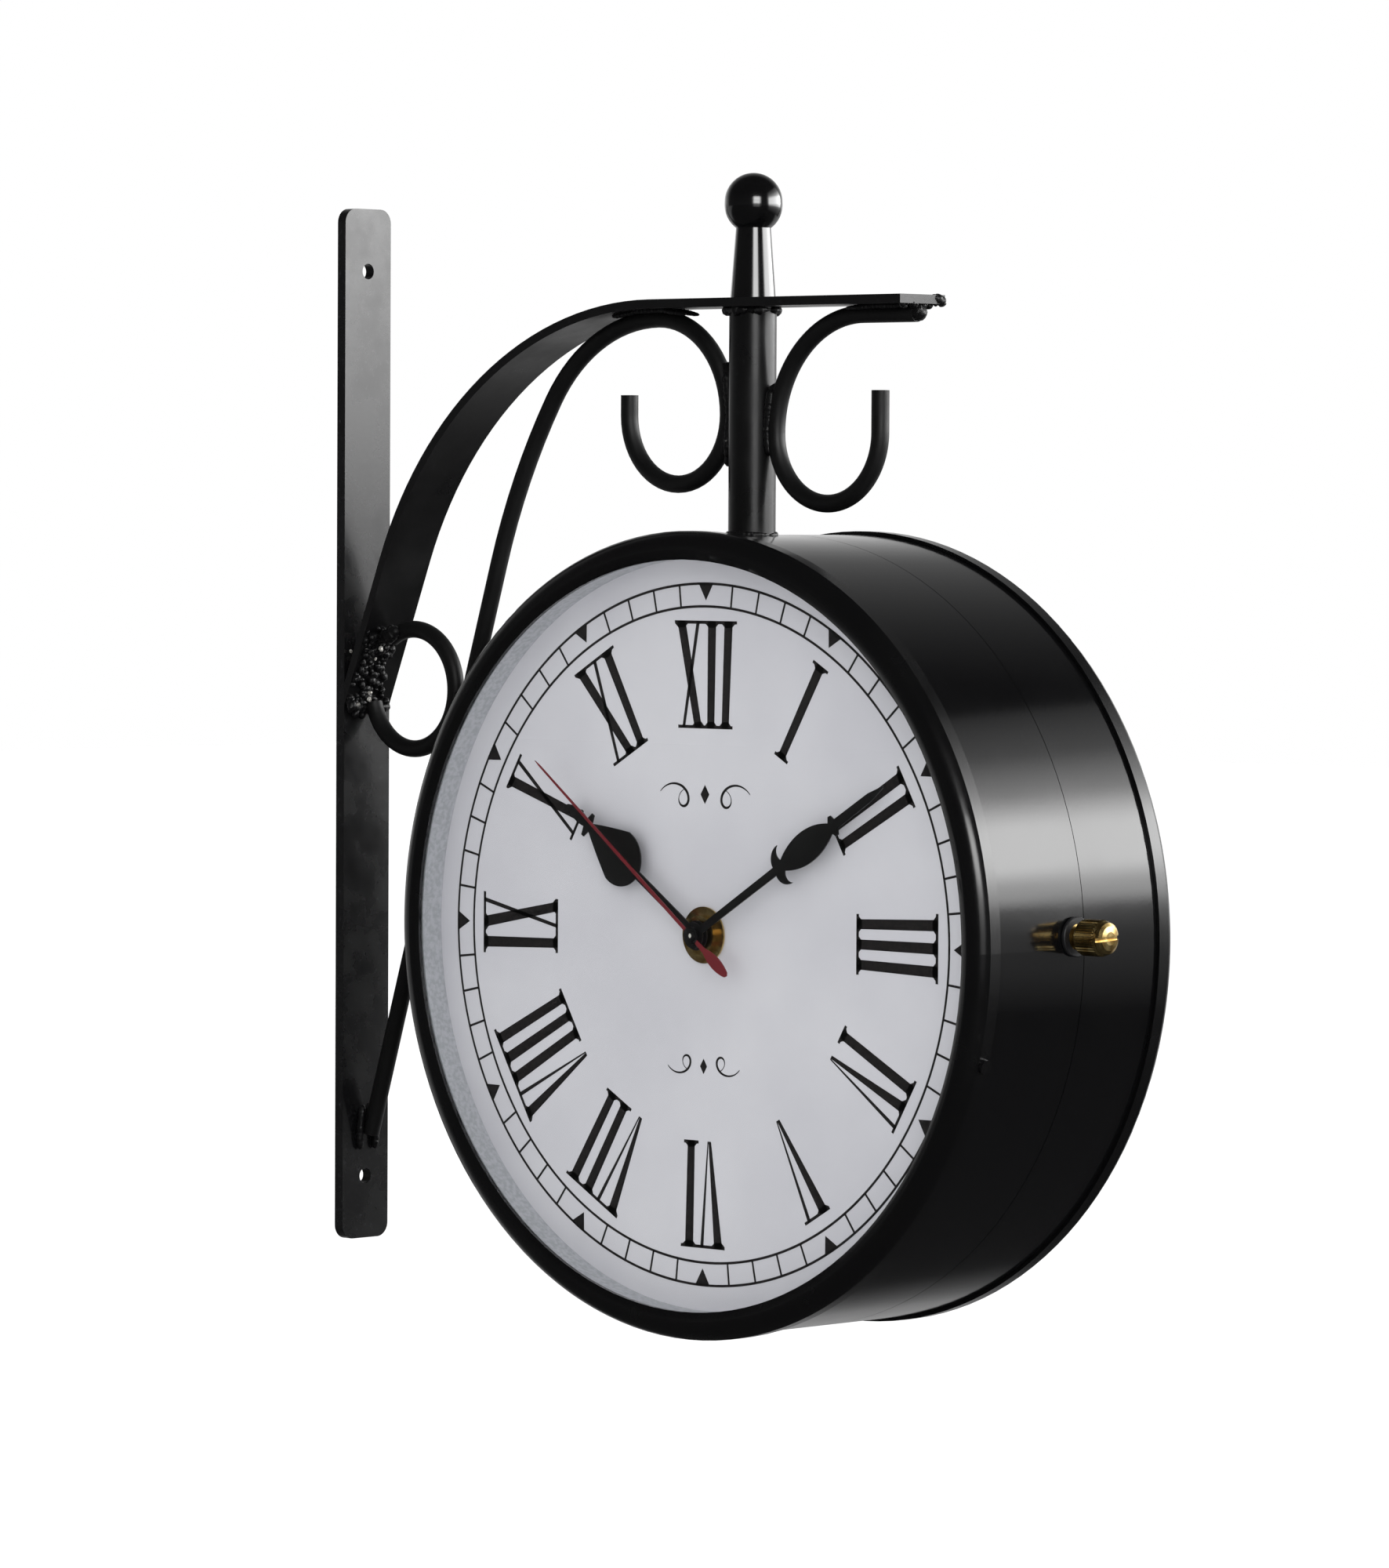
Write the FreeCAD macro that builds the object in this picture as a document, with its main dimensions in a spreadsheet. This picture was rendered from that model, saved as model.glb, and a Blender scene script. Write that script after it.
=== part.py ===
import FreeCAD, Part
import Sketcher
import math
import os

# Double sided station clock: a two-part drum with a dial on each side, hung from a scrolled wall bracket.
# Frame: origin on the wall plane, midway between the two screw holes of the wall strap.
# +X points away from the wall, the front dial faces -Y, +Z is up. The bracket lies in the plane Y = 0.
# Each dial's pieces are drawn in a face frame: x to the viewer's right, y up, z towards the viewer,
# with its origin at the middle of the drum, and are then turned to the front or to the rear.

vector = FreeCAD.Vector
doc = FreeCAD.newDocument("StationClock")
sheet = doc.addObject("Spreadsheet::Sheet", "Sizes")

# alias, value or a formula of earlier ones, meaning
drivingSizes = [
    # wall strap
    ("strapLength", 364, "height of the wall strap"),
    ("strapWidth", 22, "width of the strap, arch and arm"),
    ("strapThick", 4, "thickness of the wall strap"),
    ("strapCorner", 5, "radius of the strap's rounded corners"),
    ("wallHoleRadius", 2.75, "hole for a No. 10 wall screw"),
    ("wallHoleSpacing", 320, "distance between the two wall screws"),
    # arch and arm
    ("reach", 191, "wall to the axis of the pole and the drum"),
    ("armTop", 147.5, "upper face of the arm above the origin"),
    ("armThick", 3, "thickness of the arch and arm"),
    ("armOverhang", 76.5, "arm beyond the pole axis"),
    ("archRadius", "= 141.5 / 191 * reach", "outer radius of the arch"),
    ("archStart", "= 38 / 191 * reach", "from the pole axis back to the start of the arch"),
    ("archFootAngle", 22, "lean of the straight foot of the arch"),
    ("weldGap", 0.05, "gap left between pieces that are welded"),
    # scroll rods
    ("rodRadius", 3, "radius of the bent rods"),
    ("longTail", "= 7 / 191 * reach", "straight end of the long scroll's hook"),
    ("longHookRadius", "= 23.3 / 191 * reach", "hook of the long scroll"),
    ("longShoulderRadius", "= 32.8 / 191 * reach", "bend between the pole and the arm"),
    ("longArchRadius", "= 60 / 191 * reach", "bend of the long scroll below the arm"),
    ("longArchSweep", 57, "angle of that bend"),
    ("longSweepRadius", "= 229 / 191 * reach", "slow bend above the straight run"),
    ("longSweepAngle", 15.6, "angle of the slow bend"),
    ("endRun", 24, "straight start of the end scroll under the arm"),
    ("endShoulderRadius", 39.2, "upper bend of the end scroll"),
    ("endHookRadius", 23.5, "lower bend of the end scroll"),
    ("endTail", 14, "straight end of the end scroll"),
    ("braceRadius", "= 21 / 191 * reach", "centreline radius of the brace ring"),
    # pole, tie rod and finial
    ("poleRadius", 8, "outside of the pole tube"),
    ("poleBore", 6.5, "inside of the pole tube"),
    ("tieRadius", 3, "tie rod"),
    ("tieClearance", 0.3, "radial room for the tie rod in plates"),
    ("tieBelowNut", 2.4, "thread showing below the nut"),
    ("tieInFinial", 17, "length of tie rod inside the finial"),
    ("threadFit", 0.05, "radial room in a thread"),
    ("nutFlat", 10, "nut across flats"),
    ("nutHeight", 5, "height of the tie rod nut"),
    ("poleWasherRadius", 7.4, "washer inside the drum"),
    ("poleWasherThick", 1.2, "thickness of that washer"),
    ("washerDrop", 0.3, "washer below the crown of the shell's inside"),
    ("boreEnd", 0.5, "bore of the finial beyond the tie rod"),
    ("neckFoot", 7.65, "radius of the finial neck at the arm"),
    ("neckTip", 5.9, "radius of the neck below the ball"),
    ("neckLength", 23.5, "height of the neck"),
    ("ballRadius", 9.75, "finial ball"),
    ("ballHeight", 32.2, "ball centre above the arm"),
    # drum
    ("drumSetback", 14, "middle of the drum behind the bracket plane"),
    ("drumTop", 68.25, "crown of the drum shells above the origin"),
    ("shellRadius", 133.75, "outside of the drum shells"),
    ("drumDrop", "= shellRadius - drumTop", "drum axis below the origin"),
    ("shellWall", 0.9, "sheet thickness of the shells"),
    ("shellEnd", 43, "end of each shell from the middle of the drum"),
    ("seamSetback", 3, "seam behind the middle of the drum"),
    ("halfSeam", 0.15, "half of the gap between the two shells"),
    ("ledgeInner", "= shellRadius - 7.25", "inner radius of the ledge that the dial rests on"),
    ("ledgeThick", 1.5, "thickness of the ledge"),
    ("lapWall", 1.2, "thickness of the lap ring"),
    ("lapPlay", 0.45, "radial play of the lap ring in the front shell"),
    ("lapFront", 6, "lap ring in front of the middle of the drum"),
    ("lapRear", 16, "lap ring behind the middle of the drum"),
    ("lapStep", 4, "where the lap ring widens to its seat"),
    ("slotPlay", 0.6, "room beside the thumbscrew in the lap ring"),
    ("drillRun", 5, "length of a drill on each side of the sheet"),
    ("seatGap", 0.05, "gap between pieces that rest on each other"),
    # bezels, glass and dials
    ("bezelRadius", "= shellRadius + 1.25", "outside of the bezels"),
    ("bezelPlay", 0.1, "radial play of the bezel skirt on the shell"),
    ("skirtEnd", 39.5, "rear edge of the bezel skirt"),
    ("bezelShoulder", 44.3, "where the bezel starts to curve in"),
    ("bezelSeat", 0.3, "bezel in front of the shell's end"),
    ("bezelArc", 6.5, "radius of the bezel's rounded face"),
    ("lipRadius", "= shellRadius - 8.35", "opening of the bezel"),
    ("lipFace", 47.7, "front of the bezel lip"),
    ("lipThick", 1.5, "thickness of the lip"),
    ("glassThick", 2, "thickness of the glass"),
    ("glassRadius", "= shellRadius - 4.55", "radius of the glass"),
    ("glassPlay", 0.2, "radial play of the glass in the bezel"),
    ("spacerInner", "= shellRadius - 7.75", "inner radius of the pale spacer ring"),
    ("dialFace", 35.2, "printed face of the dial from the middle"),
    ("dialThick", 1, "thickness of the dial plate"),
    ("dialRadius", "= shellRadius - 2.25", "radius of the dial plate"),
    ("bezelScrewLevel", 42, "height of the bezel screw in the skirt"),
    ("bezelScrewAngle", -15.6, "bezel screw, from the viewer's right"),
    ("bezelScrewShank", 1.2, "shank radius of the bezel screw"),
    ("bezelScrewLength", 4, "shank length of the bezel screw"),
    ("bezelScrewHead", 2.4, "head radius of the bezel screw"),
    ("bezelScrewProud", 1.4, "height of the bezel screw's head"),
    # thumbscrew latch
    ("thumbRise", 4, "thumbscrew above the drum axis"),
    ("thumbForward", 2, "thumbscrew in front of the middle"),
    ("thumbShank", 2, "shank radius of the thumbscrew"),
    ("thumbShankEnd", "= shellRadius - 10.35", "inner end of the thumbscrew shank"),
    ("thumbCollar", 4.2, "radius of the thumbscrew collar"),
    ("thumbCollarLength", 4, "length of the collar"),
    ("thumbHead", 6, "radius of the thumbscrew head"),
    ("thumbHeadLength", 11.5, "length of the head"),
    ("thumbSlotWidth", 1.4, "screwdriver slot in the head"),
    ("thumbSlotDepth", 2, "depth of the slot"),
    ("plateOuter", "= shellRadius - 3.35", "outer face of the nut plate"),
    ("plateThick", 3, "thickness of the nut plate"),
    ("plateWidth", 10, "width of the nut plate"),
    ("plateFront", 15, "front end of the nut plate"),
    ("plateRear", -3, "rear end of the nut plate"),
    ("guideForward", 11, "guide pin in front of the middle"),
    ("guideRadius", 1.25, "guide pin radius"),
    ("guideEnd", "= shellRadius - 12.25", "inner end of the guide pin"),
    # hinge on the wall side
    ("hingeOffset", "= shellRadius + 4.65", "hinge pin from the drum axis"),
    ("knuckleRadius", 3, "hinge knuckle"),
    ("hingePinRadius", 1.25, "hinge pin"),
    ("hingeHeight", 40, "height of the hinge"),
    ("knuckleShare", 13.6, "height of the middle knuckle"),
    ("knuckleGap", 0.4, "gap between knuckles"),
    ("leafThick", 1, "thickness of a hinge leaf"),
    ("leafReach", 15, "width of a hinge leaf"),
    ("pinHeadRadius", 2, "heads of the hinge pin"),
    ("pinHeadThick", 1, "thickness of those heads"),
    ("pinPlay", 0.2, "end play of the hinge pin"),
    ("webThick", 2.4, "web between a knuckle and its leaf"),
    # quartz movements
    ("cellRadius", 7.25, "AA cell"),
    ("cellBody", 49, "length of the cell's can"),
    ("caseSize", "= cellBody + 7", "side of the square movement case"),
    ("caseDepth", 16, "depth of the case"),
    ("caseWall", 1.2, "wall of the case"),
    ("bushRadius", 4, "threaded bush through the dial"),
    ("bushLength", 4.2, "bush in front of the case"),
    ("bayShelf", 12.4, "top of the cell bay below the hand axis"),
    ("bayFloor", 0.8, "lower wall of the cell bay"),
    ("bayRise", 0.1, "roof of the cell bay above bayShelf"),
    ("postLength", 3.2, "post of the minute wheel behind the case front"),
    ("coverThick", 1.2, "rear cover of the movement"),
    ("coverPlay", 0.1, "play of the cover in the case"),
    ("dialWasherRadius", 9.5, "brass washer on the dial"),
    ("dialWasherThick", 0.6, "thickness of that washer"),
    ("dialNutRadius", 6.6, "round brass nut on the bush"),
    ("dialNutHeight", 2, "height of that nut"),
    ("shaftFit", 0.05, "radial running clearance of shafts"),
    ("hourTubeRadius", 2.55, "outside of the hour tube"),
    ("minuteShaftRadius", 1.75, "outside of the minute shaft"),
    ("secondShaftRadius", 0.8, "second arbor in the minute shaft"),
    ("cellNubRadius", 2.75, "positive nub of the cell"),
    ("cellNubLength", 1.2, "length of the nub"),
    ("contactThick", 0.4, "sheet of the cell contacts"),
    ("cellPlay", 0.2, "cell behind the case front"),
    ("coilCoreLength", 18, "length of the coil's core plate"),
    ("coilCoreWidth", 14, "width of the core plate"),
    ("coilCoreThick", 1.5, "thickness of the core plate"),
    ("coilStart", 8, "coil to the right of the hand axis"),
    ("coilRise", 6, "core plate above the hand axis"),
    ("coilRadius", 3.2, "winding of the coil"),
    ("cheekThick", 1, "thickness of the coil's cheeks"),
    ("cheekWidth", 8, "width of the cheeks"),
    ("cheekHeight", 8.2, "height of the cheeks"),
    ("coilMiddle", 13, "axis of the winding above the hand axis"),
    ("coilLift", 4.4, "axis of the winding above the core plate's foot"),
    # hands
    ("handThick", 0.5, "sheet of the hour and minute hands"),
    ("secondHandThick", 0.4, "sheet of the second hand"),
    ("hourLevel", 3.6, "hour hand above the dial"),
    ("minuteLevel", 5, "minute hand above the dial"),
    ("secondLevel", 6.4, "second hand above the dial"),
    ("collarRise", 0.4, "collar of each hand above its sheet"),
    ("pressFit", 0.02, "radial room between a hand and its shaft"),
    ("hourReach", 74, "length of the hour hand"),
    ("minuteReach", 100, "length of the minute hand"),
    ("secondReach", 93, "length of the second hand"),
    ("secondTail", 21, "tail of the second hand"),
    ("hourAngle", 304.6, "hour hand, clockwise from twelve"),
    ("minuteAngle", 58.5, "minute hand, clockwise from twelve"),
    ("secondAngle", 307.4, "second hand, clockwise from twelve"),
    # wheels
    ("motionModule", 0.25, "module of the cannon, minute and setting wheels"),
    ("hourModule", 0.24, "module of the hour wheel and its pinion"),
    ("secondModule", 0.1888889, "module of the second pinion and third wheel"),
    ("centreModule", 0.2, "module of the third pinion and centre wheel"),
    ("drivenModule", 0.16, "module of the second wheel's own teeth"),
    ("hourWheelDrop", 2.55, "hour wheel behind the front of the case"),
    ("minuteWheelDrop", 4.15, "minute wheel behind the front of the case"),
    ("centreWheelDrop", 6.15, "centre wheel behind the front of the case"),
    ("thirdWheelDrop", 8.55, "third wheel behind the front of the case"),
    ("secondWheelDrop", 11.65, "second wheel behind the front of the case"),
    ("pivotRadius", 0.45, "pivots of the small wheels"),
    ("pivotDepth", 0.65, "pivots inside the front of the case"),
    ("pivotHole", 0.75, "depth of the pivot holes in the case"),
    ("pivotPlay", 0.3, "pivots from the rear face of the cover"),
    ("slimShaft", 1.2, "centre wheel's shaft below its pinion"),
    ("slimRun", 0.6, "length of that shaft below the centre wheel"),
    ("setShaftRadius", 0.9, "shaft of the setting wheel"),
    ("setKnobRadius", 5, "setting knob"),
    ("setKnobHeight", 3.6, "height of the setting knob"),
    ("setKnobGap", 0.8, "knob behind the case"),
    ("wheelThick", 0.8, "thickness of the wheels"),
    ("pinionThick", 1, "thickness of the pinions"),
]


for row, (alias, amount, meaning) in enumerate(drivingSizes, start=1):
    sheet.set("A%d" % row, alias)
    sheet.set("B%d" % row, str(amount))
    sheet.set("C%d" % row, meaning)
    sheet.setAlias("B%d" % row, alias)
doc.recompute()

aliases = {alias for alias, amount, meaning in drivingSizes}
nodes = []


# ---------------------------------------------------------------- helpers

def size(alias):
    return float(sheet.get(alias))


def bound(text):
    # "reach - poleRadius" becomes "Sizes.reach - Sizes.poleRadius"
    words = text.replace("(", "( ").replace(")", " )").split()
    return " ".join("Sizes." + word if word in aliases else word for word in words)


def number(text):
    # the value of a plain sum of sizes, where a sketch needs a starting point
    total = 0.0
    sign = 1.0
    for word in text.split():
        if word in ("+", "-"):
            sign = 1.0 if word == "+" else -1.0
            continue
        total += sign * (size(word) if word in aliases else float(word))
    return total


def bind(item, **expressions):
    for name, text in expressions.items():
        item.setExpression(name.replace("_", "."), bound(text))
    return item


def cylinder(name, radius, height, x="0", y="0", z="0", along=vector(0, 0, 1)):
    item = doc.addObject("Part::Cylinder", name)
    item.Placement = FreeCAD.Placement(vector(0, 0, 0), FreeCAD.Rotation(vector(0, 0, 1), along))
    return bind(item, Radius=radius, Height=height,
                Placement_Base_x=x, Placement_Base_y=y, Placement_Base_z=z)


def box(name, length, width, height, x="0", y="0", z="0"):
    item = doc.addObject("Part::Box", name)
    return bind(item, Length=length, Width=width, Height=height,
                Placement_Base_x=x, Placement_Base_y=y, Placement_Base_z=z)


def fuse(name, items):
    item = doc.addObject("Part::MultiFuse", name)
    item.Shapes = items
    return item


def cut(name, base, tools):
    item = doc.addObject("Part::Cut", name)
    item.Base = base
    item.Tool = tools[0] if len(tools) == 1 else fuse(name + "Cuts", tools)
    return item


def solid(name, shape):
    item = doc.addObject("Part::Feature", name)
    item.Shape = shape
    return item


def arcBetween(start, end, radius):
    # the counter-clockwise arc of under a half circle from start to end
    middle = (start + end) * 0.5
    chord = end - start
    inward = vector(-chord.y, chord.x, 0).normalize()
    rise = math.sqrt(radius ** 2 - (chord.Length / 2) ** 2)
    crest = middle + inward * (rise - radius)
    return Part.Arc(start, crest, end)


def turned(name, outline, arcs=()):
    # revolves an outline of (radius, level) about the z axis; arcs maps a segment to its radius
    arcs = dict(arcs)
    body = doc.addObject("PartDesign::Body", name)
    sketch = body.newObject("Sketcher::SketchObject", name + "Outline")
    plane = [item for item in body.Origin.OriginFeatures if item.Role == "XZ_Plane"][0]
    sketch.AttachmentSupport = (plane, "")
    sketch.MapMode = "FlatFace"
    points = [vector(number(radius), number(level), 0) for radius, level in outline]
    count = len(points)
    for index, start in enumerate(points):
        end = points[(index + 1) % count]
        if index in arcs:
            sketch.addGeometry(arcBetween(start, end, size(arcs[index])))
        else:
            sketch.addGeometry(Part.LineSegment(start, end))
    for index in range(count):
        sketch.addConstraint(Sketcher.Constraint("Coincident", index, 2, (index + 1) % count, 1))
    for index, (radius, level) in enumerate(outline):
        if radius == "0":
            sketch.addConstraint(Sketcher.Constraint("PointOnObject", index, 1, -2))
        else:
            place = sketch.addConstraint(Sketcher.Constraint("DistanceX", -1, 1, index, 1, points[index].x))
            sketch.setExpression("Constraints[%d]" % place, bound(radius))
        place = sketch.addConstraint(Sketcher.Constraint("DistanceY", -1, 1, index, 1, points[index].y))
        sketch.setExpression("Constraints[%d]" % place, bound(level))
    for index, radius in arcs.items():
        place = sketch.addConstraint(Sketcher.Constraint("Radius", index, size(radius)))
        sketch.setExpression("Constraints[%d]" % place, bound(radius))
    revolution = body.newObject("PartDesign::Revolution", name + "Turned")
    revolution.Profile = sketch
    revolution.ReferenceAxis = (sketch, ["V_Axis"])
    revolution.Angle = 360
    return body


def ring(name, outer, inner, low, high):
    return turned(name, [(inner, low), (outer, low), (outer, high), (inner, high)])


faceTurn = {
    "front": FreeCAD.Rotation(vector(1, 0, 0), 90),
    "rear": FreeCAD.Rotation(vector(0, 0, 1), 180) * FreeCAD.Rotation(vector(1, 0, 0), 90),
    "drum": FreeCAD.Rotation(),
}


def node(item, label, frame=None):
    # names a finished sub-part and sets it in the wall frame, a face frame or the drum frame
    item.Label = label
    if frame:
        item.Placement = FreeCAD.Placement(vector(0, 0, 0), faceTurn[frame])
        bind(item, Placement_Base_x="reach", Placement_Base_y="drumSetback", Placement_Base_z="- drumDrop")
    nodes.append(item)
    return item


# ---------------------------------------------------------------- bracket

def makeWallStrap():
    blank = box("strapBlank", "strapThick", "strapWidth", "strapLength",
                "0", "- strapWidth / 2", "- strapLength / 2")
    doc.recompute()
    corners = [index for index, edge in enumerate(blank.Shape.Edges, start=1)
               if abs(edge.Length - size("strapThick")) < 1e-6]
    rounded = doc.addObject("Part::Fillet", "strapRounded")
    rounded.Base = blank
    rounded.Edges = [(index, size("strapCorner"), size("strapCorner")) for index in corners]
    holes = []
    for place, sign in ((1, "- "), (2, "")):
        holes.append(cylinder("strapHole%d" % place, "wallHoleRadius", "3 * strapThick",
                              "- strapThick", "0", sign + "wallHoleSpacing / 2", vector(1, 0, 0)))
    node(cut("wallStrap", rounded, holes), "wall_strap")


def archCentre():
    return vector(size("reach") - size("archStart"), 0, size("armTop") - size("archRadius"))


def makeArchStrap():
    # outer and inner lines of the flat bar, drawn in the plane of the bracket
    centre = archCentre()
    lean = math.radians(size("archFootAngle"))
    footX = size("strapThick") + size("weldGap")
    tipX = size("reach") + size("armOverhang")
    downwards = vector(-math.sin(lean), 0, -math.cos(lean))
    sides = []
    for radius in (size("archRadius"), size("archRadius") - size("armThick")):
        top = centre + vector(0, 0, radius)
        shoulder = centre + vector(-math.sin(math.radians(45)), 0, math.cos(math.radians(45))) * radius
        bottom = centre + vector(-math.cos(lean), 0, math.sin(lean)) * radius
        foot = bottom + downwards * ((bottom.x - footX) / math.sin(lean))
        sides.append((vector(tipX, 0, top.z), top, shoulder, bottom, foot))
    outer, inner = sides
    edges = [
        Part.makeLine(outer[0], outer[1]),
        Part.Arc(outer[1], outer[2], outer[3]).toShape(),
        Part.makeLine(outer[3], outer[4]),
        Part.makeLine(outer[4], inner[4]),
        Part.makeLine(inner[4], inner[3]),
        Part.Arc(inner[3], inner[2], inner[1]).toShape(),
        Part.makeLine(inner[1], inner[0]),
        Part.makeLine(inner[0], outer[0]),
    ]
    bar = Part.Face(Part.Wire(edges)).extrude(vector(0, size("strapWidth"), 0))
    bar.translate(vector(0, -size("strapWidth") / 2, 0))
    hole = cylinder("armHole", "tieRadius + tieClearance", "3 * armThick",
                    "reach", "0", "armTop - 2 * armThick")
    node(cut("archStrap", solid("archBar", bar), [hole]), "arch_strap")
    return inner


def rodTop():
    return size("armTop") - size("armThick") - size("rodRadius") - size("weldGap")


def onCircle(centre, radius, degrees):
    angle = math.radians(degrees)
    return centre + vector(math.cos(angle), 0, math.sin(angle)) * radius


def arcEdge(centre, radius, start, end):
    return Part.Arc(onCircle(centre, radius, start), onCircle(centre, radius, (start + end) / 2),
                    onCircle(centre, radius, end)).toShape()


def bentRod(name, edges, startTangent):
    spine = Part.Wire(edges)
    start = edges[0].Vertexes[0].Point
    section = Part.Wire([Part.makeCircle(size("rodRadius"), start, startTangent)])
    rod = spine.makePipeShell([section], True, False)
    expected = math.pi * size("rodRadius") ** 2 * spine.Length
    assert abs(rod.Volume / expected - 1) < 0.01, name
    return solid(name, rod)


def makeLongScroll():
    touch = size("reach") - size("poleRadius") - size("rodRadius") - size("weldGap")
    topX = touch - size("longShoulderRadius")
    # the bend below the arm touches the inner circle of the arch
    room = size("archRadius") - size("armThick") - size("weldGap") - size("rodRadius") - size("longArchRadius")
    lift = math.sqrt(room ** 2 - (topX - archCentre().x) ** 2)
    arch = vector(topX, 0, archCentre().z + lift)
    shoulder = vector(topX, 0, arch.z + size("longArchRadius") - size("longShoulderRadius"))
    hook = vector(touch - size("longHookRadius"), 0, shoulder.z)
    archEnd = 90 + size("longArchSweep")
    sweepEnd = archEnd + size("longSweepAngle")
    bend = onCircle(arch, size("longArchRadius"), archEnd)
    sweep = onCircle(bend, size("longSweepRadius"), archEnd + 180)
    runStart = onCircle(sweep, size("longSweepRadius"), sweepEnd)
    lean = math.radians(180 - sweepEnd)
    direction = vector(-math.sin(lean), 0, -math.cos(lean))
    footX = size("strapThick") + size("weldGap") + size("rodRadius") * math.cos(lean)
    foot = runStart + direction * ((runStart.x - footX) / math.sin(lean))
    tail = onCircle(hook, size("longHookRadius"), 180)
    edges = [
        Part.makeLine(tail + vector(0, 0, size("longTail")), tail),
        arcEdge(hook, size("longHookRadius"), 180, 360),
        arcEdge(shoulder, size("longShoulderRadius"), 0, 90),
        arcEdge(arch, size("longArchRadius"), 90, archEnd),
        arcEdge(sweep, size("longSweepRadius"), archEnd, sweepEnd),
        Part.makeLine(runStart, foot),
    ]
    node(bentRod("longScroll", edges, vector(0, 0, -1)), "long_scroll_rod")
    return runStart, direction


def makeEndScroll():
    touch = size("reach") + size("poleRadius") + size("rodRadius") + size("weldGap")
    shoulder = vector(touch + size("endShoulderRadius"), 0, rodTop() - size("endShoulderRadius"))
    hook = vector(touch + size("endHookRadius"), 0, shoulder.z)
    top = onCircle(shoulder, size("endShoulderRadius"), 90)
    tail = onCircle(hook, size("endHookRadius"), 360)
    edges = [
        Part.makeLine(top + vector(size("endRun"), 0, 0), top),
        arcEdge(shoulder, size("endShoulderRadius"), 90, 180),
        arcEdge(hook, size("endHookRadius"), 180, 360),
        Part.makeLine(tail, tail + vector(0, 0, size("endTail"))),
    ]
    node(bentRod("endScroll", edges, vector(-1, 0, 0)), "end_scroll_rod")


def makeBraceRing(archInner, runStart, runDirection):
    # the ring touches the strap and the long rod, and opens where the arch foot comes down
    radius = size("braceRadius")
    reach = radius + size("rodRadius") + size("weldGap")
    centreX = size("strapThick") + reach
    across = vector(runDirection.z, 0, -runDirection.x)
    spacing = reach + size("rodRadius")
    # distance from the long rod: (runStart - centre) . across = -spacing
    centreZ = runStart.z - (-spacing - (runStart.x - centreX) * across.x) / across.z
    centre = vector(centreX, 0, centreZ)
    lean = size("archFootAngle")
    normal = vector(math.cos(math.radians(lean)), 0, -math.sin(math.radians(lean)))
    depth = (centre - archInner[3]).dot(normal)
    touch = math.degrees(math.acos((size("rodRadius") + size("weldGap") - depth) / radius))
    upper = touch - lean
    lower = 360 - touch - lean
    middle = (lower - 360 + upper) / 2
    edges = [
        arcEdge(centre, radius, lower - 360, middle),
        arcEdge(centre, radius, middle, upper),
    ]
    angle = math.radians(lower)
    node(bentRod("braceRing", edges, vector(-math.sin(angle), 0, math.cos(angle))), "brace_ring")


def makePole():
    low = "shellRadius - drumDrop + weldGap"
    high = "armTop - armThick - weldGap"
    tube = ring("poleTube", "poleRadius", "poleBore", low, high)
    bind(tube, Placement_Base_x="reach")
    node(tube, "pole_tube")

    washerTop = "shellRadius - shellWall - drumDrop - washerDrop"
    washer = ring("poleWasher", "poleWasherRadius", "tieRadius + tieClearance",
                  washerTop + " - poleWasherThick", washerTop)
    bind(washer, Placement_Base_x="reach")
    node(washer, "pole_washer")

    nutTop = washerTop + " - poleWasherThick - seatGap"
    blank = doc.addObject("Part::Prism", "poleNutBlank")
    blank.Polygon = 6
    bind(blank, Circumradius="nutFlat / sqrt(3)", Height="nutHeight", Placement_Base_x="reach",
         Placement_Base_z=nutTop + " - nutHeight")
    bore = cylinder("poleNutBore", "tieRadius + threadFit", "3 * nutHeight", "reach", "0",
                    nutTop + " - 2 * nutHeight")
    node(cut("poleNut", blank, [bore]), "pole_nut")

    tieFoot = nutTop + " - nutHeight - tieBelowNut"
    tie = cylinder("tieRod", "tieRadius", "armTop + tieInFinial - ( " + tieFoot + " )", "reach", "0", tieFoot)
    node(tie, "tie_rod")


def makeFinial():
    low = "armTop + weldGap"
    neckTop = "armTop + neckLength"
    bore = "armTop + tieInFinial + boreEnd"
    outline = [
        ("tieRadius + threadFit", low),
        ("neckFoot", low),
        ("neckTip", neckTop),
        ("ballRadius", "armTop + ballHeight"),
        ("0", "armTop + ballHeight + ballRadius"),
        ("0", bore),
        ("tieRadius + threadFit", bore),
    ]
    finial = turned("finial", outline, {2: "ballRadius", 3: "ballRadius"})
    bind(finial, Placement_Base_x="reach")
    node(finial, "finial")


# ---------------------------------------------------------------- drum

def bezelScrewTool(side, name, radius, start, length):
    # a radial cylinder where the bezel's one screw is
    tool = cylinder(side + name, radius, length, start, "0", "0", vector(1, 0, 0))
    carrier = doc.addObject("Part::Compound", side + name + "Placed")
    carrier.Links = [tool]
    turn = FreeCAD.Rotation(vector(0, 0, 1), size("bezelScrewAngle"))
    carrier.Placement = FreeCAD.Placement(vector(0, 0, 0), turn)
    bind(carrier, Placement_Base_z="bezelScrewLevel")
    return carrier


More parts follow.
